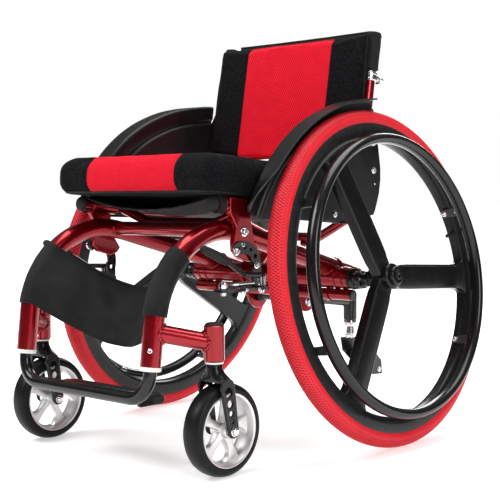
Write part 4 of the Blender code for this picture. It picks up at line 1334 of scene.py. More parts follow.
def build_brake_springs(side, name):
    """The return spring on its rod, and the spring round the lever's pivot."""
    rod = [at(side * 0.1895, back, BRAKE_BASE_Z + 0.0034) for back in (-0.336, -0.331, -0.270, -0.264)]
    pivot = at(side * LEVER_PIVOT[0], LEVER_PIVOT[1], BRAKE_BASE_Z)
    springs = [coil(rod[1], rod[2], 0.0023, 0.0005, 18), sweep([rod[0], rod[3]], 0.0012, 12),
               coil(pivot + Vector((0, 0, 0.001)), pivot + Vector((0, 0, 0.0165)), 0.0068, 0.0006, 8)]
    piece(f"{name}_brake_springs", springs, CHROME, "frame", slot="chrome")


def build_brake_lever(side, name):
    """The bent lever with its ribbed grip."""
    place = Matrix.Translation(at(side * LEVER_PIVOT[0], LEVER_PIVOT[1], BRAKE_BASE_Z))
    body = f"{name}_brake_lever"
    boss = [(0.0003, 0), (0.0003, 0.0055), (0.0215, 0.0055), (0.0225, 0.0045), (0.0225, 0)]
    cross = [Vector((0, 0.004, 0.0195)), Vector((0, -0.040, 0.0215)), Vector((0, -0.084, 0.0460))]
    arm = sweep(filleted(cross, 0.03, 8), 0.0046, 20)
    boss = lathe(softened(boss, 0.0006), 36, axis="Z")
    piece(f"{name}_lever_arm", [boss, arm], BLACK_COAT, body, f"{name}_brake_lever", place=place)
    start, end = Vector((0, -0.078, 0.0432)), Vector((0, -0.141, 0.0700))
    rings = []
    lift = Vector((1, 0, 0)).cross((end - start).normalized()).normalized()
    for i in range(45):
        share = i / 44
        round_end = min(1.0, (share / 0.05) ** 0.5, ((1 - share) / 0.06) ** 0.5 + 0.12)
        rib = 1 + 0.055 * cos(2 * pi * share * 11)
        wide = 0.0098 * round_end * rib * (0.80 + 0.20 * sin(pi * min(share * 1.1, 1.0)))
        middle = start.lerp(end, share)
        rings.append([middle + Vector((wide * cos(angle), 0, 0)) + lift * (0.78 * wide * sin(angle))
                      for angle in around(28)])
    piece(f"{name}_lever_grip", loft(rings), GRIP_RUBBER, body, slot="black_metal", place=place, smooth=60)


def build_brake_shoe(side, name):
    """The arm that presses on the tyre: a pivot, a link and a knurled rod."""
    place = Matrix.Translation(at(side * SHOE_PIVOT[0], SHOE_PIVOT[1], BRAKE_BASE_Z))
    boss = [(0.0003, 0), (0.0003, 0.0070), (0.0100, 0.0070), (0.0112, 0.0056), (0.0125, 0.0050), (0.0125, 0)]
    link = plate(hull_outline([(0, 0, 0.0062), (0, 0.030, 0.0050)]), 0.0050, 0.0080, "Z")
    bars = [(0, SHOE_LENGTH - 0.0005, 0.0040)]
    bars += [(0.034 + i * 0.003, 0.034 + i * 0.003 + 0.0014, 0.0045) for i in range(12)]
    shapes = [lathe(softened(boss, 0.0006), 36, axis="Z"), link]
    for start, end, radius in bars:
        shapes.append(sweep([Vector((0, start, 0.0065)), Vector((0, end, 0.0065))], radius, 24))
    piece(f"{name}_shoe_arm", shapes, CHROME, f"{name}_brake_shoe", f"{name}_brake_shoe", slot="chrome",
          place=place)


def build_brakes():
    for side, name in SIDES:
        build_brake_bracket(side, name)
        build_brake_springs(side, name)
        build_brake_lever(side, name)
        build_brake_shoe(side, name)


# Backrest hardware. Local axes: Z runs up the canes from the fold pivot, and -Y faces the sitter.

BACK_PLACE = Matrix.Translation(PIVOT) @ Matrix.Rotation(-BACK_LEAN, 4, "X")


def build_back_post(side, name):
    """The fixed post under the fold hinge, its cheeks, and the block on the rail's end."""
    x = side * CANE_X
    lean = Vector((0, sin(BACK_LEAN), cos(BACK_LEAN)))
    pivot = Vector((x, PIVOT.y, PIVOT.z))
    foot = pivot - lean * 0.112
    shapes = [sweep([foot, pivot - lean * 0.014], CANE_R, 32)]
    end = pivot - lean * 0.020
    for edge in (-0.0085, 0.0055):
        outline = hull_outline([(pivot.y, pivot.z, 0.009), (end.y, end.z, 0.007)], 32)
        shapes.append(plate(outline, x + edge, x + edge + 0.003))
    low = at(0.1575, RAIL_REAR[0] + 0.0015, 0.397)
    high = at(CANE_X + CANE_R, PIVOT.y - AXLE_Y + 0.004, 0.4255)
    outline = [(low.y, low.z), (high.y - 0.010, low.z), (high.y, low.z + 0.010), (high.y, high.z),
               (low.y + 0.004, high.z), (low.y, high.z - 0.004)]
    shapes.append(mirrored(plate(outline, low.x, high.x), side))
    piece(f"{name}_rear_bracket", shapes, BLACK_COAT, "frame", f"{name}_back_post", bevel=0.0010)
    out = Vector((side, 0, 0))
    edge = side * (CANE_X + CANE_R)
    spots = [(Vector((edge, low.y + 0.011, 0.411)), out, 0.0052, 0.0040),
             (Vector((edge, low.y + 0.035, 0.411)), out, 0.0052, 0.0040),
             (Vector((x + side * 0.0085, pivot.y, pivot.z)), out, 0.0044, 0.0030)]
    bolts(f"{name}_rear_bolts", "frame", spots)


def build_cane(side, name):
    x = side * CANE_X
    profile = [(0.080, 0), (0.080, 0.0089), (CANE_TOP, 0.0089), (CANE_TOP, CANE_R), (0.0215, CANE_R),
               (0.0200, CANE_R - 0.0015), (0.020, 0)]
    tube = moved(lathe(profile, 48, axis="Z"), (x, 0, 0))
    tongue = plate(hull_outline([(0, 0, 0.008), (0, 0.030, 0.008)], 28), x - 0.0050, x + 0.0050)
    piece(f"{name}_cane_tube", [tube, tongue], PAINT, "back_frame", f"{name}_back_cane", place=BACK_PLACE)


def build_clamp(side, name):
    """The height clamp at the cane's top: a split collar and its fluted knob."""
    x = side * CANE_X
    top = CANE_TOP - 0.001
    bore = CANE_R + 0.0003
    ring = stepped(top, (-0.016, bore), (-0.016, 0.0138), (-0.0125, 0.0142), (-0.0118, 0.0136),
                   (-0.0045, 0.0136), (-0.0038, 0.0142), (0, 0.0138), (0, bore))
    collar = moved(lathe(softened(ring, 0.0006), 48, axis="Z"), (x, 0, 0))
    ear = [(0.0125, top - 0.0135), (0.0190, top - 0.0135), (0.0190, top - 0.0025), (0.0125, top - 0.0025)]
    ears = [plate(ear, x + offset, x + offset + 0.0028) for offset in (-0.0038, 0.0010)]
    piece(f"{name}_clamp_collar", [collar, *ears], CHROME, "back_frame", f"{name}_cane_clamp", slot="chrome",
          place=BACK_PLACE)
    spot = BACK_PLACE @ Vector((x, 0.0195, top - 0.008))
    knob_place = Matrix.Translation(spot) @ Matrix.Rotation(-BACK_LEAN - pi / 2, 4, "X")
    knob = [(0, 0), (0, 0.0035), (0.0055, 0.0035), (0.0060, 0.0066), (0.0072, 0.0078), (0.0145, 0.0078),
            (0.0160, 0.0066), (0.0160, 0.0035), (0.0150, 0.0030), (0.0150, 0)]
    knob = lathe(softened(knob, 0.0005), 40, axis="Z")
    flutes = []
    for angle in around(10):
        post = Vector((0.0076 * cos(angle), 0.0076 * sin(angle), 0.0074))
        flutes.append(sweep([post, post + Vector((0, 0, 0.0070))], 0.0008, 8))
    piece(f"{name}_knob_head", [knob, *flutes], CHROME, f"{name}_clamp_knob",
          f"{name}_clamp_knob", slot="chrome", place=knob_place)


def build_sleeve(side, name):
    """A padded fabric sleeve on the inner post, gathered a little under its cap."""
    x = side * CANE_X
    low, high = SLEEVE
    post = lathe(softened(square_ring(0.088, low + 0.01, 0, 0.0083), 0.0008), 40, axis="Z")
    piece(f"{name}_inner_post", moved(post, (x, 0, 0)), CHROME, "back_panel", slot="chrome", place=BACK_PLACE)
    rings = []
    levels = 44
    for i in range(levels + 1):
        share = i / levels
        up = low + (high - low) * share
        swell = min(1.0, 0.80 + (share / 0.03) * 0.2, 0.62 + ((1 - share) / 0.035) ** 0.5 * 0.38)
        ring = []
        for angle in around(48):
            crease = 0.0006 * noise.noise(Vector((2.2 * cos(angle) + side * 7, 2.2 * sin(angle), up * 55)))
            fold = 0.0004 * sin(angle * 9) * max(0.0, share - 0.82) / 0.18
            radius = 0.0146 * swell + crease + fold
            ring.append(Vector((x + radius * cos(angle), radius * sin(angle), up)))
        rings.append(ring)
    piece(f"{name}_sleeve_fabric", loft(rings), WEBBING, "back_panel", f"{name}_cane_sleeve",
          place=BACK_PLACE, smooth=60)
    bands = []
    for up in (low + 0.004, high - 0.008):
        route = [Vector((x + 0.0149 * cos(angle), 0.0149 * sin(angle), up)) for angle in around(40)]
        bands.append(sweep(route, 0.0008, 8, loop=True))
    piece(f"{name}_sleeve_hems", bands, WEBBING, "back_panel", place=BACK_PLACE)


def build_backrest():
    for side, name in SIDES:
        build_back_post(side, name)
        build_cane(side, name)
        build_clamp(side, name)
        build_sleeve(side, name)


# Anti-tip caster


def build_anti_tip():
    """The bar behind the axle tube, with a swivel barrel at its end."""
    start = at(0, 0.030, 0.250)
    end = at(0, ANTI_TIP_STEM, 0.221)
    reach = Vector((0.0585, 0, 0))
    shapes = [sweep([start, end], 0.009, 32), sweep([start - reach, start + reach], 0.010, 32)]
    barrel = [(0.184, 0), (0.184, 0.0130), (0.1855, 0.0145), (0.2345, 0.0145), (0.236, 0.0130), (0.236, 0)]
    shapes.append(moved(lathe(softened(barrel, 0.0008), 48, axis="Z"), at(0, ANTI_TIP_STEM, 0)))
    for side, _ in SIDES:
        ring = square_ring(0.0480, 0.0560, 0.0098, 0.0135)
        shapes.append(moved(lathe(softened(ring, 0.0008), 40, side), start))
    piece("anti_tip_bar", shapes, BLACK_COAT, "frame", "anti_tip_arm")
    cap = (at(0, ANTI_TIP_STEM, 0.236), Vector((0, 0, 1)), 0.0060, 0.0045)
    clamp = (at(0, 0.052, 0.2555), Vector((0, 0, 1)), 0.0046, 0.0040)
    bolts("anti_tip_screws", "frame", [cap, clamp])
    build_anti_tip_fork()


def build_anti_tip_fork():
    """The swivelling fork with its threaded spindle, and the small wheel."""
    place = Matrix.Translation(at(0, ANTI_TIP_STEM, 0))
    top = 0.146
    trail = ANTI_TIP_WHEEL[0] - ANTI_TIP_STEM
    corners = ((0.030, top), (0.092, 0.088), (0.096, 0.058), (0.062, 0.060), (-0.008, 0.118), (-0.014, top),
               (0.030, top))
    outline = filleted([Vector((y, z, 0)) for y, z in corners], 0.005, 6)
    outline = [(point.x, point.y) for point in outline[1:]]
    legs = [plate(outline, leg * 0.0125, leg * 0.0155) for leg in (-1, 1)]
    crown = [(-0.0155, -0.014), (0.0155, -0.014), (0.0155, 0.022), (-0.0155, 0.022)]
    crown = plate(crown, top - 0.004, top, "Z")
    fork = piece("anti_tip_yoke", [*legs, crown], BLACK_COAT, "anti_tip_swivel", "anti_tip_fork",
                 bevel=0.0008, place=place)
    drilled(fork, cross_bar(0.03, 0.030, 0.105, 0.0075, 28))
    thread = [(top - 0.002, 0), (top - 0.002, 0.0115), (top + 0.006, 0.0115), (top + 0.0075, 0.0085)]
    up = top + 0.009
    while up < 0.170:
        thread += [(up, 0.0088), (up + 0.0009, 0.0079)]
        up += 0.0018
    thread += [(0.1720, 0.0084), (0.1720, 0.0125), (0.1735, 0.0135), (0.1820, 0.0135), (0.1835, 0.0125),
               (0.1835, 0)]
    shapes = [lathe(thread, 48, axis="Z")]
    for half, back, up, radius, height in (
        (0.020, trail, ANTI_TIP_WHEEL[1], 0.0055, 0.0040),
        (0.018, 0.084, 0.070, 0.0048, 0.0030),
    ):
        shapes.append(cross_bar(half, back, up, 0.004, 24))
        for side, _ in SIDES:
            shapes.append(bolt(Vector((side * 0.0155, back, up)), Vector((side, 0, 0)), radius, height))
    piece("anti_tip_spindle", shapes, CHROME, "anti_tip_swivel", slot="silver", place=place)
    tyre = [(-0.0090, 0.0043), (-0.0090, 0.0100), (-0.0076, 0.0125), (-0.0076, 0.0165), (-0.0096, 0.0190),
            (-0.0094, 0.0222), (-0.0064, ANTI_TIP_R - 0.0004)]
    tyre = lathe(softened(both_ways(tyre), 0.0009), 72)
    piece("anti_tip_rubber", tyre, GRIP_RUBBER, "anti_tip_roller", "anti_tip_wheel",
          slot="rubber_black", place=Matrix.Translation(at(0, *ANTI_TIP_WHEEL)))


# Padded pieces


def smooth_box(half, corner, counts, shape):
    """A closed rounded box as a mesh, its points passed through shape(x, y, z)."""
    bm = bmesh.new()
    bmesh.ops.create_cube(bm, size=2.0)
    for axis, count in enumerate(counts):
        low, high = -1.0, 1.0
        for i in range(1, count):
            level = low + (high - low) * i / count
            place = Vector([level if k == axis else 0.0 for k in range(3)])
            normal = Vector([1.0 if k == axis else 0.0 for k in range(3)])
            everything = list(bm.verts) + list(bm.edges) + list(bm.faces)
            bmesh.ops.bisect_plane(bm, geom=everything, plane_co=place, plane_no=normal)
    for vert in bm.verts:
        point = Vector([vert.co[k] * half[k] for k in range(3)])
        core = Vector([max(-half[k] + corner, min(half[k] - corner, point[k])) for k in range(3)])
        away = point - core
        if away.length > 0:
            point = core + away.normalized() * corner
        vert.co = shape(point)
    return bm


CLOTH = {
    "quality": 6,
    "use_pressure": True,
    "tension_stiffness": 18,
    "compression_stiffness": 18,
    "shear_stiffness": 8,
    "bending_stiffness": 2.5,
}
CLOTH_STEPS = 20


def swollen(obj, voxel, pressure, cap, keep_in):
    """Remeshes a pad, blows it up a little as cloth, and keeps every point within bounds."""
    modifier = obj.modifiers.new("even", "REMESH")
    modifier.mode = "VOXEL"
    modifier.voxel_size = voxel
    bake(obj)
    start = points_of(obj)
    cloth = obj.modifiers.new("cloth", "CLOTH")
    cloth.settings.effector_weights.gravity = 0
    for key, value in CLOTH.items():
        setattr(cloth.settings, key, value)
    cloth.settings.uniform_pressure_force = pressure
    cloth.point_cache.frame_start = 1
    cloth.point_cache.frame_end = CLOTH_STEPS
    for step in range(1, CLOTH_STEPS + 1):
        bpy.context.scene.frame_set(step)
    bake(obj)
    bpy.context.scene.frame_set(1)
    end = points_of(obj)
    shift = end - start
    length = np.linalg.norm(shift, axis=1, keepdims=True)
    shift *= np.minimum(1.0, cap / np.maximum(length, 1e-9))
    set_points(obj, keep_in(start + shift))
    modifier = obj.modifiers.new("fine", "SUBSURF")
    modifier.levels = 1
    modifier.render_levels = 1
    bake(obj)
    obj.data.shade_smooth()
    return obj


def points_of(obj):
    flat = np.empty(len(obj.data.vertices) * 3)
    obj.data.vertices.foreach_get("co", flat)
    return flat.reshape(-1, 3)


def set_points(obj, points):
    obj.data.vertices.foreach_set("co", points.reshape(-1))
    obj.data.update()


def cut_loop(obj, place, normal):
    """The ordered outline where a plane cuts a closed mesh."""
    bm = bmesh.new()
    bm.from_mesh(obj.data)
    everything = list(bm.verts) + list(bm.edges) + list(bm.faces)
    made = bmesh.ops.bisect_plane(bm, geom=everything, plane_co=place, plane_no=normal)
    edges = [part for part in made["geom_cut"] if isinstance(part, bmesh.types.BMEdge)]
    near = {}
    for edge in edges:
        first, second = edge.verts
        near.setdefault(first, []).append(second)
        near.setdefault(second, []).append(first)
    start = edges[0].verts[0]
    route, before, here = [start.co.copy()], None, start
    while True:
        following = [vert for vert in near[here] if vert is not before]
        before, here = here, following[0]
        if here is start:
            break
        route.append(here.co.copy())
    bm.free()
    return route


def even_spaced(route, gap):
    """A closed route resampled at even steps and lightly smoothed."""
    closed = route + [route[0]]
    lengths = [0.0]
    for first, second in zip(closed, closed[1:]):
        lengths.append(lengths[-1] + (second - first).length)
    count = max(24, int(lengths[-1] / gap))
    spots = []
    index = 0
    for i in range(count):
        target = lengths[-1] * i / count
        while lengths[index + 1] < target:
            index += 1
        share = (target - lengths[index]) / max(lengths[index + 1] - lengths[index], 1e-9)
        spots.append(closed[index].lerp(closed[index + 1], share))
    for _ in range(3):
        spots = [(spots[i - 1] + spots[i] * 2 + spots[(i + 1) % count]) / 4 for i in range(count)]
    return spots


def normals_of(obj):
    flat = np.empty(len(obj.data.vertices) * 3)
    obj.data.vertices.foreach_get("normal", flat)
    return flat.reshape(-1, 3)


def creased(obj, seam_x, depth, width):
    """Sinks the surface along the two seams at x = seam_x and -seam_x."""
    points = points_of(obj)
    normals = normals_of(obj)
    for side in (-1, 1):
        gap = points[:, 0] - side * seam_x
        points = points - normals * (depth * np.exp(-((gap / width) ** 2)))[:, None]
    set_points(obj, points)


def wrinkled(obj, depth):
    """Low, broad unevenness, as in foam under a loose cover."""
    points = points_of(obj)
    amount = np.array([noise.noise(Vector(p) * 16) + 0.4 * noise.noise(Vector(p) * 45) for p in points])
    set_points(obj, points + normals_of(obj) * (depth * amount)[:, None])


def sew_seams(name, pad, seam_x, radius, body, place):
    """The two red seams round a pad."""
    seams = []
    for side in (-1, 1):
        route = even_spaced(cut_loop(pad, (side * seam_x, 0, 0), (1, 0, 0)), 0.004)
        seams.append(sweep(route, radius, 8, loop=True))
    piece(name, merged(*seams), SEAM_RED, body, place=place)


def finish_pad(pad, place, body, node):
    pad.matrix_world = place
    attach(pad, body)
    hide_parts(node)


# Seat cushion


CUSHION_LENGTH = 0.386
CUSHION_HALF = 0.198
CUSHION_HEIGHT = 0.064
CUSHION_FRONT = -0.370
CUSHION_BASE = rail_height(CUSHION_FRONT) + (RAIL_R + 0.0003) / cos(RAKE) + 0.0025 + 0.0003
CUSHION_PLACE = Matrix.Translation(at(0, CUSHION_FRONT, CUSHION_BASE)) @ Matrix.Rotation(-RAKE, 4, "X")


def cushion_shape(point):
    """Turns the plain box into a boxed cushion: a crowned top, pulled-in sides, a soft front."""
    x, y, z = point
    across = x / CUSHION_HALF
    along = y / (CUSHION_LENGTH / 2)
    crown = 0.0035 * (1 - across ** 2) * (1 - along ** 2)
    if z > 0:
        z += crown
    x *= 1 + 0.028 * max(0.0, -0.3 - along)
    return Vector((x, y + CUSHION_LENGTH / 2 - 0.005, z + CUSHION_HEIGHT / 2))


def build_cushion():
    half = (CUSHION_HALF + 0.003, CUSHION_LENGTH / 2 + 0.006, CUSHION_HEIGHT / 2 - 0.001)
    shape = smooth_box(half, 0.024, (34, 32, 9), cushion_shape)
    cushion = new_object("seat_pad", shape, SEAT_FABRIC)

    def keep_in(points):
        wide = np.where(points[:, 1] < 0.070, 0.2060, 0.2008)
        points[:, 0] = np.clip(points[:, 0], -wide, wide)
        points[:, 1] = np.clip(points[:, 1], -0.0095, CUSHION_LENGTH + 0.002)
        # The rear edge is a little lower, where the folded backrest comes down
        rear = np.clip((points[:, 1] - 0.330) / 0.015, 0, 1)
        points[:, 2] = np.clip(points[:, 2], 0.0006, CUSHION_HEIGHT + 0.0035 - 0.0018 * rear)
        return points

    swollen(cushion, 0.005, 4.0, 0.009, keep_in)
    creased(cushion, SEAT_SEAM_X, 0.0016, 0.0032)
    wrinkled(cushion, 0.0007)
    sew_seams("seat_seams", cushion, SEAT_SEAM_X, 0.0009, "frame", CUSHION_PLACE)
    route = even_spaced(cut_loop(cushion, (0, 0, 0.0040), (0, 0, 1)), 0.005)
    piece("seat_welt", sweep(route, 0.0021, 10, loop=True), WEBBING, "frame", place=CUSHION_PLACE)
    finish_pad(cushion, CUSHION_PLACE, "frame", "seat_cushion")


# Seat sling


def thick_sheet(rows, thick):
    """A closed sheet from rows of (point, outward) pairs."""
    bm = bmesh.new()
    layers = []
    for lift in (0, thick):
        layers.append([[bm.verts.new(spot + outward * lift) for spot, outward in row] for row in rows])
    low, high = layers
    last, wide = len(rows) - 1, len(rows[0]) - 1
    for grid in layers:
        for i in range(last):
            for j in range(wide):
                bm.faces.new((grid[i][j], grid[i][j + 1], grid[i + 1][j + 1], grid[i + 1][j]))
    for i in range(last):
        for j in (0, wide):
            bm.faces.new((low[i][j], low[i + 1][j], high[i + 1][j], high[i][j]))
    for j in range(wide):
        for i in (0, last):
            bm.faces.new((low[i][j], low[i][j + 1], high[i][j + 1], high[i][j]))
    return bm


def both_sides(half):
    """A row from the sitter's left to the right, from its left half, which ends in the middle."""
    mirror = Vector((-1, 1, 1))
    return half + [(spot * mirror, outward * mirror) for spot, outward in half[-2::-1]]


def hem(row, radius, lift, sides=10):
    return sweep([spot + outward * lift for spot, outward in row], radius, sides)


def sling_row(back):
    """Across the seat: round the outside of each rail, over its top and sagging between."""
    centre = rail_height(back)
    lift = RAIL_R + 0.0004
    half = []
    for i in range(15):
        angle = radians(-100 + 190 * i / 14)
        outward = Vector((cos(angle), 0, sin(angle)))
        half.append((at(RAIL_X, back, centre) + outward * lift, outward))
    leave = half[-1][0].x
    top = centre + lift
    front = max(0.0, 1 - (back - RAIL_FRONT[0]) / 0.06)
    depth = 0.028 - 0.004 * front
    for i in range(1, 31):
        share = i / 30
        x = leave * (1 - share)
        fold = 0.0009 * sin(x * 160) * front + 0.0008 * noise.noise(Vector((x * 26, back * 26, 0)))
        z = top - depth * (1 - (x / leave) ** 2) + fold * share
        half.append((at(x, back, z), Vector((0, 0, 1))))
    return both_sides(half)


def build_sling():
    thick = 0.0021
    backs = [RAIL_FRONT[0] + 0.003 + (RAIL_REAR[0] - 0.006 - RAIL_FRONT[0]) * i / 40 for i in range(41)]
    rows = [sling_row(back) for back in backs]
    sling = piece("seat_cloth", thick_sheet(rows, thick), WEBBING, "frame", "seat_sling", smooth=70)
    hems = [hem(row, 0.0017, thick / 2) for row in (rows[0], rows[-1])]
    hems = piece("seat_cloth_hems", hems, WEBBING, "frame")


# Calf strap


STRAP_Z = (0.262, 0.353)


def leg_at(up):
    """The middle of the left main tube's front part at a height, and its direction there."""
    path = main_tube_path(1)
    for low, high in zip(path, path[1:]):
        if high.z >= up:
            share = (up - low.z) / (high.z - low.z)
            return low.lerp(high, share), (high - low).normalized()
    raise ValueError("the strap is above the knee")


def strap_row(level, levels):
    share_up = level / levels
    centre, along = leg_at(STRAP_Z[0] + (STRAP_Z[1] - STRAP_Z[0]) * share_up)
    rear = Vector((0, along.z, -along.y))
    inner = FRAME_TUBE_R + 0.0004
    half = []
    for i in range(22):
        angle = radians(60 - 210 * i / 21)
        outward = Vector((1, 0, 0)) * cos(angle) + rear * sin(angle)
        pucker = 0.0012 * noise.noise(Vector((angle * 3.1, share_up * 5, 2)))
        half.append((centre + outward * (inner + abs(pucker)), outward))
    leave = half[-1][0]
    for i in range(1, 41):
        share = i / 40
        shape = share * (2 - share)
        spot = leave + Vector((-leave.x * share, 0.085 * shape, -0.072 * shape))
        outward = Vector((-2 * 0.085 * (1 - share) / leave.x, -1, 0)).normalized()
        x = leave.x * (1 - share)
        pull = exp(-(((share_up - 0.5 - 0.35 * share) / 0.14) ** 2)) * (1 - share)
        fold = 0.0034 * pull + 0.0060 * noise.noise(Vector((x * 13 + share_up * 1.8, share_up * 2.4, 5)))
        fold += 0.0030 * noise.noise(Vector((x * 38 - share_up * 3, share_up * 4.5, 9)))
        half.append((spot + outward * fold * min(1.0, share * 8), outward))
    return both_sides(half)


def build_calf_strap():
    thick = 0.0022
    levels = 22
    rows = [strap_row(level, levels) for level in range(levels + 1)]
    strap = piece("calf_band", thick_sheet(rows, thick), WEBBING, "frame", "calf_strap", smooth=70)
    edge, stitch = (0.0015, thick / 2), (0.0005, thick)
    hems = [hem(rows[index], *line, 8) for index, line in ((0, edge), (1, stitch), (-2, stitch), (-1, edge))]
    hems = piece("calf_band_hems", hems, WEBBING, "frame")


# Back pad. It lies in front of the canes, between and over them.


BACK_LOW, BACK_HIGH = 0.003, 0.2405
BACK_HALF = CANE_X + 0.0060
PAD_FRONT, PAD_REAR = -0.0268, -0.0155  # where it laps over the canes
LAP_RISE = 0.0095  # its lower corners stay clear of the posts as it folds


def back_shape(point):
    """A boxed pad, thick between the canes, thin where it laps over them and widest at mid-height."""
    x, y, z = point
    up = z + (BACK_LOW + BACK_HIGH) / 2
    lap = min(1.0, max(0.0, (abs(x) - 0.148) / 0.018))
    if y > 0:
        y *= 1 + 2.4 * (1 - lap)
    else:
        y -= 0.0022 * (1 - (x / BACK_HALF) ** 2)
    foot = max(0.0, 1 - (up - BACK_LOW) / 0.06)
    up += LAP_RISE * foot * min(1.0, max(0.0, (abs(x) - 0.125) / 0.035))
    fuller = 0.0065 * sin(pi / 2 * min(1.0, max(0.0, (BACK_HIGH - up) / 0.12)))
    x += (1 if x > 0 else -1) * (fuller - 0.0002) * abs(x) / BACK_HALF
    return Vector((x, y + (PAD_FRONT + PAD_REAR) / 2, up))


def build_back_pad():
    half = (BACK_HALF, (PAD_REAR - PAD_FRONT) / 2, (BACK_HIGH - BACK_LOW) / 2)
    pad = new_object("back_pad", smooth_box(half, 0.0045, (48, 6, 30), back_shape), BACK_FABRIC)

    def keep_in(points):
        beyond = np.abs(points[:, 0]) > CANE_X - 0.0165
        points[:, 1] = np.where(beyond, np.minimum(points[:, 1], -0.0152), points[:, 1])
        points[:, 1] = np.clip(points[:, 1], -0.0310, 0.0050)
        points[:, 0] = np.clip(points[:, 0], -0.1975, 0.1975)
        lowest = np.where(beyond, BACK_LOW + LAP_RISE - 0.001, BACK_LOW - 0.001)
        points[:, 2] = np.clip(points[:, 2], lowest, BACK_HIGH + 0.001)
        return points

    set_points(pad, keep_in(points_of(pad)))
    swollen(pad, 0.0036, 3.0, 0.005, keep_in)
    creased(pad, BACK_SEAM_X, 0.0011, 0.0030)
    wrinkled(pad, 0.0006)
    sew_seams("back_seams", pad, BACK_SEAM_X, 0.0006, "back_panel", BACK_PLACE)
    welt = even_spaced(cut_loop(pad, (0, -0.0225, 0), (0, 1, 0)), 0.004)
    black, red = [], []
    for first, second in zip(welt, welt[1:] + welt[:1]):
        inside = abs(first.x) < BACK_SEAM_X and first.z > BACK_HIGH - 0.03
        (red if inside else black).append((first, second))
    for chain, material, tone in ((black, WELT, "black"), (red, SEAM_RED, "red")):
        parts = [sweep([a, b + (b - a) * 0.1], 0.0016, 10) for a, b in chain]
        piece(f"back_welt_{tone}", parts, material, "back_panel", place=BACK_PLACE)
    finish_pad(pad, BACK_PLACE, "back_panel", "back_upholstery")


CLOTH_LOW, CLOTH_TOP = 0.018, 0.2530


def build_back_sling():
    """The black cloth behind the pad: flat between the canes, its top edge above the pad's."""
    thick = 0.0020
    levels, steps = 26, 48
    inner = CANE_X - 0.0160
    rows = []
    for level in range(levels + 1):
        up = CLOTH_LOW + (CLOTH_TOP - CLOTH_LOW) * level / levels
        row = []
        for i in range(steps + 1):
            x = inner * (1 - 2 * i / steps)
            sag = 0.0035 * (1 - (x / inner) ** 2)
            fold = 0.0007 * noise.noise(Vector((x * 24, up * 24, 3)))
            row.append((Vector((x, 0.0068 + sag + fold, up)), Vector((0, 1, 0))))
        rows.append(row)
    cloth = piece("back_cloth", thick_sheet(rows, thick), WEBBING, "back_panel",
                  place=BACK_PLACE, smooth=70)
    hems = [hem(row, 0.0019, thick / 2) for row in (rows[0], rows[-1])]
    outline = rounded_section(inner - 0.004, 0.0125, 0.003)
    straps = [plate([(a, up + b) for a, b in outline], 0.0126, 0.0140, "Y") for up in (0.060, 0.125, 0.190)]
    hems = piece("back_cloth_hems", hems, WEBBING, "back_panel", place=BACK_PLACE)
    bands = piece("back_cloth_straps", straps, WEBBING, "back_panel", place=BACK_PLACE,
                  bevel=0.0005)


# Light and floor


def area_light(name, place, aim, size, power):
    data = bpy.data.lights.new(name, "AREA")
    data.shape = "RECTANGLE"
    data.size, data.size_y = size
    data.energy = power
    light = bpy.data.objects.new(name, data)
    light.location = place
    light.rotation_euler = (Vector(aim) - Vector(place)).to_track_quat("-Z", "Y").to_euler()
    bpy.context.scene.collection.objects.link(light)


FLOOR_GLOW = 0.48  # near the chair; the sweep is fully white further away


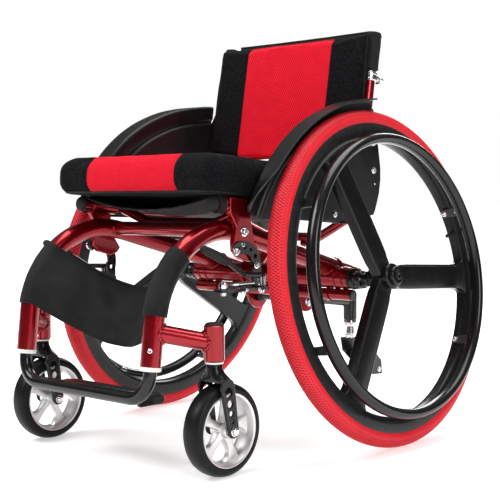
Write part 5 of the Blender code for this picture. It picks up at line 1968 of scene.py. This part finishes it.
def build_world():
    """White to the camera. What it lights and what is mirrored is dim below and bright above."""
    world = bpy.data.worlds.new("studio")
    bpy.context.scene.world = world
    world.use_nodes = True
    tree = world.node_tree
    tree.nodes.clear()
    output = tree.nodes.new("ShaderNodeOutputWorld")
    seen = tree.nodes.new("ShaderNodeBackground")
    seen.inputs["Color"].default_value = (1, 1, 1, 1)
    seen.inputs["Strength"].default_value = 1.0
    lit = tree.nodes.new("ShaderNodeBackground")
    lit.inputs["Strength"].default_value = 0.36
    ramp = tree.nodes.new("ShaderNodeValToRGB")
    stops = ((0.0, 0.30), (0.47, 0.42), (0.53, 0.16), (0.74, 0.50), (1.0, 1.0))
    while len(ramp.color_ramp.elements) < len(stops):
        ramp.color_ramp.elements.new(0.5)
    for element, (place, level) in zip(ramp.color_ramp.elements, stops):
        element.position = place
        element.color = (level, level, level, 1)
    coordinates = tree.nodes.new("ShaderNodeTexCoord")
    parts = tree.nodes.new("ShaderNodeSeparateXYZ")
    span = tree.nodes.new("ShaderNodeMapRange")
    span.inputs["From Min"].default_value = -1
    path = tree.nodes.new("ShaderNodeLightPath")
    mix = tree.nodes.new("ShaderNodeMixShader")
    for source, target in (
        (coordinates.outputs["Generated"], parts.inputs[0]),
        (parts.outputs["Z"], span.inputs["Value"]),
        (span.outputs[0], ramp.inputs["Fac"]),
        (ramp.outputs["Color"], lit.inputs["Color"]),
        (path.outputs["Is Camera Ray"], mix.inputs[0]),
        (lit.outputs[0], mix.inputs[1]),
        (seen.outputs[0], mix.inputs[2]),
        (mix.outputs[0], output.inputs["Surface"]),
    ):
        tree.links.new(source, target)


def build_studio():
    """A white sweep, lit softly from above and from both sides."""
    build_world()
    area_light("key", (-1.3, -2.2, 2.6), (0, 0, 0.35), (1.8, 1.3), 76)
    area_light("fill", (2.8, -1.0, 1.5), (0, 0, 0.35), (1.1, 1.9), 42)
    area_light("top", (0.2, 0.4, 3.0), (0, 0, 0.3), (2.2, 2.2), 76)
    area_light("rear_rim", (-1.2, 2.4, 1.7), (0, 0, 0.5), (1.2, 1.4), 34)
    build_floor()


def build_floor():
    """A pale floor whose own glow hides its far edge against the white behind it."""
    mesh = bpy.data.meshes.new("floor")
    reach = 60.0
    corners = [(-reach, -reach, 0), (reach, -reach, 0), (reach, reach, 0), (-reach, reach, 0)]
    mesh.from_pydata(corners, [], [(0, 1, 2, 3)])
    floor = bpy.data.objects.new("floor", mesh)
    floor.location.z = -0.0003
    bpy.context.scene.collection.objects.link(floor)
    graph = Graph("floor_paper", Roughness=0.75, Specular_IOR_Level=0.0)
    graph.shader.inputs["Emission Color"].default_value = (1, 1, 1, 1)
    away = graph.add("VectorMath", operation="LENGTH")
    graph.link(graph.position, away.inputs[0])
    glow = graph.ramp(graph.times(away.outputs["Value"], 0.1), (0.11, (FLOOR_GLOW,) * 3), (0.32, (1, 1, 1)))
    graph.link(glow, graph.shader.inputs["Emission Strength"])
    graph.colour(graph.ramp(graph.noise(3), (0.3, (0.90,) * 3), (0.7, (0.92,) * 3)))
    mesh.materials.append(graph.material)


def main():
    build_frame()
    build_footrest()
    build_wheels()
    build_casters()
    build_brakes()
    build_backrest()
    build_cushion()
    build_sling()
    build_calf_strap()
    build_back_pad()
    build_back_sling()
    build_anti_tip()
    build_studio()
    bpy.context.scene.view_settings.view_transform = "Standard"


main()
